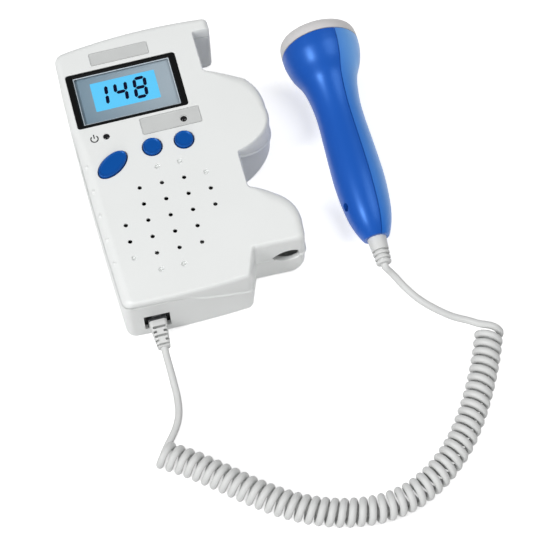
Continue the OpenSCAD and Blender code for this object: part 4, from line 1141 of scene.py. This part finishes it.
def make_probe():
    """The two halves of the handle and the pale face, with fine grooves along their joints."""
    whole = combine(probe_form("probe_whole"), probe_hollow())
    long_groove = combine(probe_block("groove", -JOINT_GAP / 2, JOINT_GAP / 2, -5, HANDLE_L + 20),
                          probe_form("core", JOINT_DEPTH))
    slant_groove = combine(face_block("groove", -JOINT_GAP / 2, JOINT_GAP / 2),
                           probe_form("core", JOINT_DEPTH))
    face = combine(copy_of(whole, "probe_face_cap"), face_block("cut", 0, 40), "INTERSECT")
    combine(face, copy_of(slant_groove, "cut"))
    handle = combine(whole, face_block("cut", 0, 40))
    combine(handle, slant_groove)
    combine(handle, long_groove)
    sleeve = [probe_ring(r, z, 48) for r, z in ((BOOT_ROOT_R + FIT, -1), (BOOT_ROOT_R + FIT, 5))]
    combine(handle, loft("cut", sleeve))
    rear = combine(copy_of(handle, "probe_rear_half"), probe_block("cut", -60, 0, -20, 140), "INTERSECT")
    front = combine(handle, probe_block("cut", 0, 60, -20, 140), "INTERSECT")
    front.name = "probe_front_half"
    combine(front, screw_bar("boss", [(3.2, 0.1), (3.2, 10)]), "UNION")
    head = PROBE_SCREW_HEAD_R + 0.15
    combine(front, screw_bar("cut", [(PROBE_SCREW_R + FIT, -1), (PROBE_SCREW_R + FIT, 5), (head, 5),
                                     (head, 10.9), (head + 0.1, 11.2), (head + 0.45, 11.7),
                                     (head + 0.45, 16)]))
    return finished(front), finished(rear), finished(face)


BOOT_ROOT_R = 4.5
TAIL_TIP_R = 3.3
BOOT_GROOVES = 3
BOOT_GROOVE_PITCH = 2.2


def make_probe_boot():
    """A cone with three deep rings, where the lead leaves the probe."""
    profile = [(BOOT_ROOT_R - 0.2, 4.4), (BOOT_ROOT_R, 4.1), (BOOT_ROOT_R, 0), (BOOT_ROOT_R - 0.3, -4)]

    def cone(z):
        share = (-z - 4) / (TAIL_L - 5)
        return BOOT_ROOT_R - 0.3 - share * (BOOT_ROOT_R - 0.7 - TAIL_TIP_R)

    for i in range(BOOT_GROOVES - 1, -1, -1):
        low = -TAIL_L + 1.4 + i * BOOT_GROOVE_PITCH
        high = low + 0.9
        profile += [(cone(high + 0.5), high + 0.5), (cone(high + 0.15) - 0.05, high + 0.15),
                    (cone(high) - 0.25, high), (TAIL_TIP_R - 0.6, high - 0.1),
                    (TAIL_TIP_R - 0.6, low + 0.1), (cone(low) - 0.25, low),
                    (cone(low - 0.15) - 0.05, low - 0.15)]
    profile += [(TAIL_TIP_R + 0.3, -TAIL_L + 0.6), (TAIL_TIP_R, -TAIL_L + 0.15), (TAIL_TIP_R - 0.3, -TAIL_L)]
    return finished(loft("probe_boot_moulding", [probe_ring(r, z, 56) for r, z in profile]))


# ---- materials ----
def colour(code):
    """Linear RGBA of an sRGB hex code."""
    parts = [int(code[i:i + 2], 16) / 255 for i in (1, 3, 5)]
    return (*[c / 12.92 if c <= 0.04045 else ((c + 0.055) / 1.055) ** 2.4 for c in parts], 1)


def add(tree, kind, settings=None, **links):
    """Adds a node. settings are its properties and unlinked inputs, links its linked inputs."""
    made = tree.nodes.new(kind)
    for name, value in (settings or {}).items():
        if name in made.inputs:
            made.inputs[name].default_value = value
        else:
            setattr(made, name, value)
    for name, source in links.items():
        tree.links.new(source, made.inputs[name])
    return made


def moulded(name, code, roughness, ior=1.53, specular=0.5, grain_mm=0.5, grain=0.12, cloud_mm=35,
            cloud=0.03, glow=None, alpha=1.0, metallic=0.0, shine="#FFFFFF", painted_light_fade=None):
    """A finish whose colour clouds a little over cloud_mm and whose surface has a grain.

    shine is the colour of its highlights. The last argument, when given, is a second colour that the first
    turns to along X, and the two places between which it does: painted light, lighter towards one side.
    """
    material = bpy.data.materials.new(name)
    material.use_nodes = True
    tree = material.node_tree
    shader = tree.nodes["Principled BSDF"]
    shader.inputs["IOR"].default_value = ior
    shader.inputs["Specular IOR Level"].default_value = specular
    shader.inputs["Metallic"].default_value = metallic
    shader.inputs["Alpha"].default_value = alpha
    shader.inputs["Specular Tint"].default_value = colour(shine)
    where = add(tree, "ShaderNodeTexCoord").outputs["Object"]
    clouds = add(tree, "ShaderNodeTexNoise", {"Scale": 1 / (cloud_mm * MM), "Detail": 3.0}, Vector=where)
    base = colour(code)
    dark = tuple(c * (1 - cloud) for c in base[:3]) + (1,)
    light = tuple(min(1, c * (1 + cloud)) for c in base[:3]) + (1,)
    ramp = add(tree, "ShaderNodeValToRGB", Fac=clouds.outputs["Fac"])
    for stop, shade in zip(ramp.color_ramp.elements, (dark, light)):
        stop.color = shade
    tint = ramp.outputs["Color"]
    # painted light: a second colour that lightens the first along X
    if painted_light_fade:
        code_2, start, end = painted_light_fade
        across = add(tree, "ShaderNodeSeparateXYZ", Vector=where)
        share = add(tree, "ShaderNodeMapRange", {"From Min": place((start, 0, 0)).x,
                                                 "From Max": place((end, 0, 0)).x},
                    Value=across.outputs["X"])
        painted_light_mix = add(tree, "ShaderNodeMixRGB", {"Color2": colour(code_2)}, Fac=share.outputs["Result"],
                    Color1=tint)
        tint = painted_light_mix.outputs["Color"]
    tree.links.new(tint, shader.inputs["Base Color"])
    grit = add(tree, "ShaderNodeTexNoise", {"Scale": 1 / (grain_mm * MM), "Detail": 2.0}, Vector=where)
    spread = add(tree, "ShaderNodeMapRange", {"To Min": roughness - 0.04, "To Max": roughness + 0.04},
                 Value=grit.outputs["Fac"])
    tree.links.new(spread.outputs["Result"], shader.inputs["Roughness"])
    bump = add(tree, "ShaderNodeBump", {"Strength": grain, "Distance": grain_mm * MM * 0.2},
               Height=grit.outputs["Fac"])
    tree.links.new(bump.outputs["Normal"], shader.inputs["Normal"])
    if glow:
        shader.inputs["Emission Color"].default_value = colour(glow)
        shader.inputs["Emission Strength"].default_value = 1
    return material


# White ABS from a lightly etched mould: clean and bright, with a soft satin sheen.
white_abs = moulded("white_moulded_abs", "#EFF1F0", 0.42)
# Blue ABS from a polished mould: deep colour with soft, bright highlights.
blue_abs = moulded("blue_moulded_abs", "#1A58BA", 0.34, specular=0.95, grain=0.08, shine="#7DB4FF")
# The other half is the same blue painted lighter, and lighter still towards its side: painted light from the
# side.
blue_abs_painted_side_light = moulded("blue_moulded_abs_painted_side_light", "#2C74D6", 0.34, specular=0.6, grain=0.08,
                         shine="#7DB4FF", painted_light_fade=("#78B6FA", 127, 137))
# The keys are moulded in the same blue, a little more matt.
key_abs = moulded("blue_key_abs", "#0650A4", 0.36, specular=0.6, grain=0.08, shine="#7DB4FF")
# Acoustic lens plastic: a pale warm grey, nearly matt.
lens_plastic = moulded("acoustic_lens_plastic", "#DAD8D8", 0.45)
# Soft vinyl jacket of the lead: pale grey with a waxy sheen.
vinyl = moulded("soft_vinyl", "#DBDCDB", 0.5, ior=1.52, grain_mm=0.4, grain=0.2)
# Clear polycarbonate of the modular plug, coloured dark grey as painted shade for the shadow of the socket's
# window; the dark socket also shows through it.
clear_plastic_painted_shade = moulded("clear_polycarbonate_painted_shade", "#5B5E60", 0.15, ior=1.58, grain=0.02, alpha=0.55)
# Black print on the display's frame: smooth, and dark from every side.
black_print = moulded("black_printed_acrylic", "#0A0B0C", 0.35, ior=1.49, specular=0.2, grain=0.02)
# Black nylon of the socket's insert: dull, so that its inside reads as a dark hole.
black_nylon = moulded("black_moulded_nylon", "#151517", 0.5, specular=0.3)
# Polariser over the display's glass: smooth grey with a blue cast, painted lighter towards the right as a
# painted reflection.
polariser_painted_reflection = moulded("grey_polariser_painted_reflection", "#8EA7B8", 0.3, ior=1.5, specular=0.3, grain=0.02, cloud_mm=22,
                    cloud=0.08, painted_light_fade=("#B9C9D4", 8, 50))
# Lit area of the display: even pale blue light from behind.
backlight = moulded("lit_display_film", "#3A8CB4", 0.4, specular=0.2, glow="#56B2DA", cloud=0.01)
# Dark liquid crystal segments.
segment_ink = moulded("liquid_crystal_segment", "#060A30", 0.4, specular=0.1, cloud=0.01)
# Clear acrylic: almost unseen.
acrylic = moulded("clear_acrylic", "#20242A", 0.08, ior=1.49, alpha=0.05, grain=0.01, cloud=0.0)
# The same acrylic at its polished slanted edge, painted pale and opaque: a painted highlight for the light
# that the edge gathers.
acrylic_edge_painted_highlight = moulded("polished_acrylic_edge_painted_highlight", "#C4CED6", 0.2, ior=1.49, grain=0.02)
# Smoked epoxy of the lamps: nearly black and glossy when off.
smoked_epoxy = moulded("smoked_epoxy", "#141416", 0.12, ior=1.55, specular=0.35, grain=0.02)
# Zinc-plated steel of the screws: grey metal with a soft, uneven shine.
zinc_steel = moulded("zinc_plated_steel", "#A4A7AA", 0.35, metallic=1.0, ior=1.5, grain_mm=0.3)
# Nickel-plated spring steel of the contacts: bright and nearly neutral.
nickel_steel = moulded("nickel_plated_steel", "#C9CCCE", 0.25, metallic=1.0, ior=1.5, grain_mm=0.3)
# Shrunk film sleeve of the cells: plain green with a plastic gloss.
cell_sleeve = moulded("cell_sleeve_film", "#3E7A4A", 0.3)
# Solder resist over a glass laminate: even green with a low gloss.
solder_resist = moulded("green_solder_resist", "#2F6B46", 0.35, grain_mm=0.8)
# Pressed paper of the speaker's cone: nearly black, matt and fibrous.
speaker_black = moulded("speaker_cone_paper", "#2B2C2E", 0.7, grain_mm=0.7, grain=0.4)
# Closed-cell foam of the speaker's ring: dark, matt and pitted.
foam = moulded("closed_cell_foam", "#2E3034", 0.8, grain_mm=0.6, grain=0.5)
# Fired silver on the piezo discs: a warm metal with a satin face.
piezo_silver = moulded("silvered_piezo_disc", "#C9B078", 0.35, metallic=1.0, ior=1.5)
# Brushed foil of the bare label plates.
foil = moulded("brushed_foil_plate", "#CFD1D0", 0.4, grain_mm=0.35, grain=0.35, cloud_mm=6, cloud=0.05)


def finish_with(obj, material):
    obj.data.materials.clear()
    obj.data.materials.append(material)


def declare(obj, body, slot_name, material, *nodes):
    """Gives a finished piece its material and body, and hides the nodes that it stands for. slot_name is not
    used.
    """
    finish_with(obj, material)
    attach(obj, body)
    if nodes:
        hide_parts(*nodes)
    return obj


CAD_FINISHES = {
    "battery_cells": cell_sleeve, "battery_contacts": nickel_steel, "case_screws": zinc_steel,
    "lcd_bezel": black_print, "lcd_window": acrylic, "lcd_module": polariser_painted_reflection,
    "power_lamp": smoked_epoxy, "signal_lamp": smoked_epoxy, "main_board": solder_resist,
    "tact_switches": black_nylon, "power_button": key_abs, "volume_down_button": key_abs,
    "volume_up_button": key_abs, "speaker": speaker_black, "speaker_gasket": foam,
    "probe_socket": black_nylon, "lead_plug": clear_plastic_painted_shade, "plug_boot": vinyl, "probe_boot": vinyl,
    "probe_front_shell": blue_abs, "probe_rear_shell": blue_abs, "probe_face": lens_plastic,
    "transducer_discs": piezo_silver, "probe_board": solder_resist, "probe_screw": zinc_steel,
    "front_shell": white_abs, "rear_shell": white_abs, "battery_door": white_abs}
for node_name, node_material in CAD_FINISHES.items():
    finish_with(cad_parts[node_name], node_material)

declare(make_front_shell(), "unit", "housing_white", white_abs, "front_shell")
declare(make_rear_shell(), "unit", "housing_white", white_abs, "rear_shell")
declare(make_battery_door(), "door", "housing_white", white_abs, "battery_door")
declare(make_lcd_bezel(), "unit", "bezel_black", black_print, "lcd_bezel")
# the window's edge is painted pale as a painted highlight
declare(make_window_edge(), "unit", "clear_window", acrylic_edge_painted_highlight)
declare(make_lit_area(), "unit", "display_grey", backlight)
declare(make_digits(), "unit", "bezel_black", segment_ink)
for plate_name in PLATES:
    declare(make_label_plate(plate_name), "unit", "housing_white", foil)
declare(make_power_sign(), "unit", "bezel_black", black_print)
declare(make_power_key(), "power_key", "key_blue", key_abs, "power_button")
for key_name, key_spot in zip(("volume_down", "volume_up"), KEY_SPOTS):
    declare(make_round_key(key_name + "_cap", key_spot), key_name + "_key", "key_blue", key_abs,
            key_name + "_button")
declare(make_case_screws(), "unit", "screw_steel", zinc_steel, "case_screws")
# the plug's dark grey is painted shade
plug = declare(make_lead_plug(), "lead", "plug_clear_grey", clear_plastic_painted_shade, "lead_plug")
boot = declare(make_plug_boot(), "lead", "cord_grey", vinyl, "plug_boot")
probe_front, probe_rear, probe_face = make_probe()
declare(probe_front, "lead", "probe_blue", blue_abs, "probe_front_shell")
# the rear half's finish carries painted side light
declare(probe_rear, "lead", "probe_blue", blue_abs_painted_side_light, "probe_rear_shell")
declare(probe_face, "lead", "face_pale", lens_plastic, "probe_face")
tail_boot = declare(make_probe_boot(), "lead", "cord_grey", vinyl, "probe_boot")
declare(lead, "lead", "cord_grey", vinyl, "cord_unit_end", "curly_cord", "cord_probe_end")

# ---- studio ----
FLOOR_SEEN = "#F4F4F4"
FLOOR_BOUNCE = "#ABABAB"  # what the floor throws back on the object
FLOOR_GLOW = 0.6         # lifts the seen floor to white, and keeps its shadow
FLOOR_SIZE = 6
AIR_LIGHT = 0.28         # strength of the even light from all round
LAMPS = [                # name, place, what it aims at, diameter in metres, watts
    ("key_light", (-1.35, -0.4, 1.65), (0.04, 0, 0), 0.6, 24),
    ("top_light", (0.6, -0.1, 1.3), (0.06, 0, 0), 0.8, 5.5),
    ("front_light", (-0.3, -1.25, 0.4), (0.03, -0.03, 0), 0.5, 3)]


def add_floor():
    """Pale paper: white to the camera and in reflections, and a softer grey as a light source."""
    bpy.ops.object.select_all(action="DESELECT")
    bpy.ops.mesh.primitive_plane_add(size=FLOOR_SIZE, location=(0, 0, 0))
    floor = bpy.context.object
    floor.name = "studio_floor"
    material = bpy.data.materials.new("studio_paper")
    material.use_nodes = True
    tree = material.node_tree
    tree.nodes.remove(tree.nodes["Principled BSDF"])
    path = add(tree, "ShaderNodeLightPath")
    seen = add(tree, "ShaderNodeMath", {"operation": "ADD"})
    tree.links.new(path.outputs["Is Camera Ray"], seen.inputs[0])
    tree.links.new(path.outputs["Is Glossy Ray"], seen.inputs[1])
    seen_too = add(tree, "ShaderNodeMath", {"operation": "ADD", "use_clamp": True})
    tree.links.new(seen.outputs[0], seen_too.inputs[0])
    tree.links.new(path.outputs["Is Transmission Ray"], seen_too.inputs[1])
    paper = add(tree, "ShaderNodeBsdfDiffuse", {"Color": colour(FLOOR_SEEN)})
    glow = add(tree, "ShaderNodeEmission", {"Strength": FLOOR_GLOW})
    lifted = add(tree, "ShaderNodeAddShader")
    tree.links.new(paper.outputs[0], lifted.inputs[0])
    tree.links.new(glow.outputs[0], lifted.inputs[1])
    bounce = add(tree, "ShaderNodeBsdfDiffuse", {"Color": colour(FLOOR_BOUNCE)})
    choice = add(tree, "ShaderNodeMixShader", Fac=seen_too.outputs[0])
    tree.links.new(bounce.outputs[0], choice.inputs[1])
    tree.links.new(lifted.outputs[0], choice.inputs[2])
    tree.links.new(choice.outputs[0], tree.nodes["Material Output"].inputs["Surface"])
    finish_with(floor, material)


def add_light(name, position, aim, size, power):
    data = bpy.data.lights.new(name, "AREA")
    data.shape = "DISK"
    data.size = size
    data.energy = power
    light = bpy.data.objects.new(name, data)
    bpy.context.collection.objects.link(light)
    light.location = position
    light.rotation_euler = (Vector(aim) - Vector(position)).to_track_quat("-Z", "Y").to_euler()


def add_studio():
    add_floor()
    for name, position, aim, size, power in LAMPS:
        add_light(name, position, aim, size, power)
    world = bpy.data.worlds.new("studio_air")
    bpy.context.scene.world = world
    world.use_nodes = True
    air = world.node_tree.nodes["Background"]
    air.inputs["Color"].default_value = colour("#FFFFFF")
    air.inputs["Strength"].default_value = AIR_LIGHT


add_studio()
bpy.context.scene.view_settings.view_transform = "Standard"
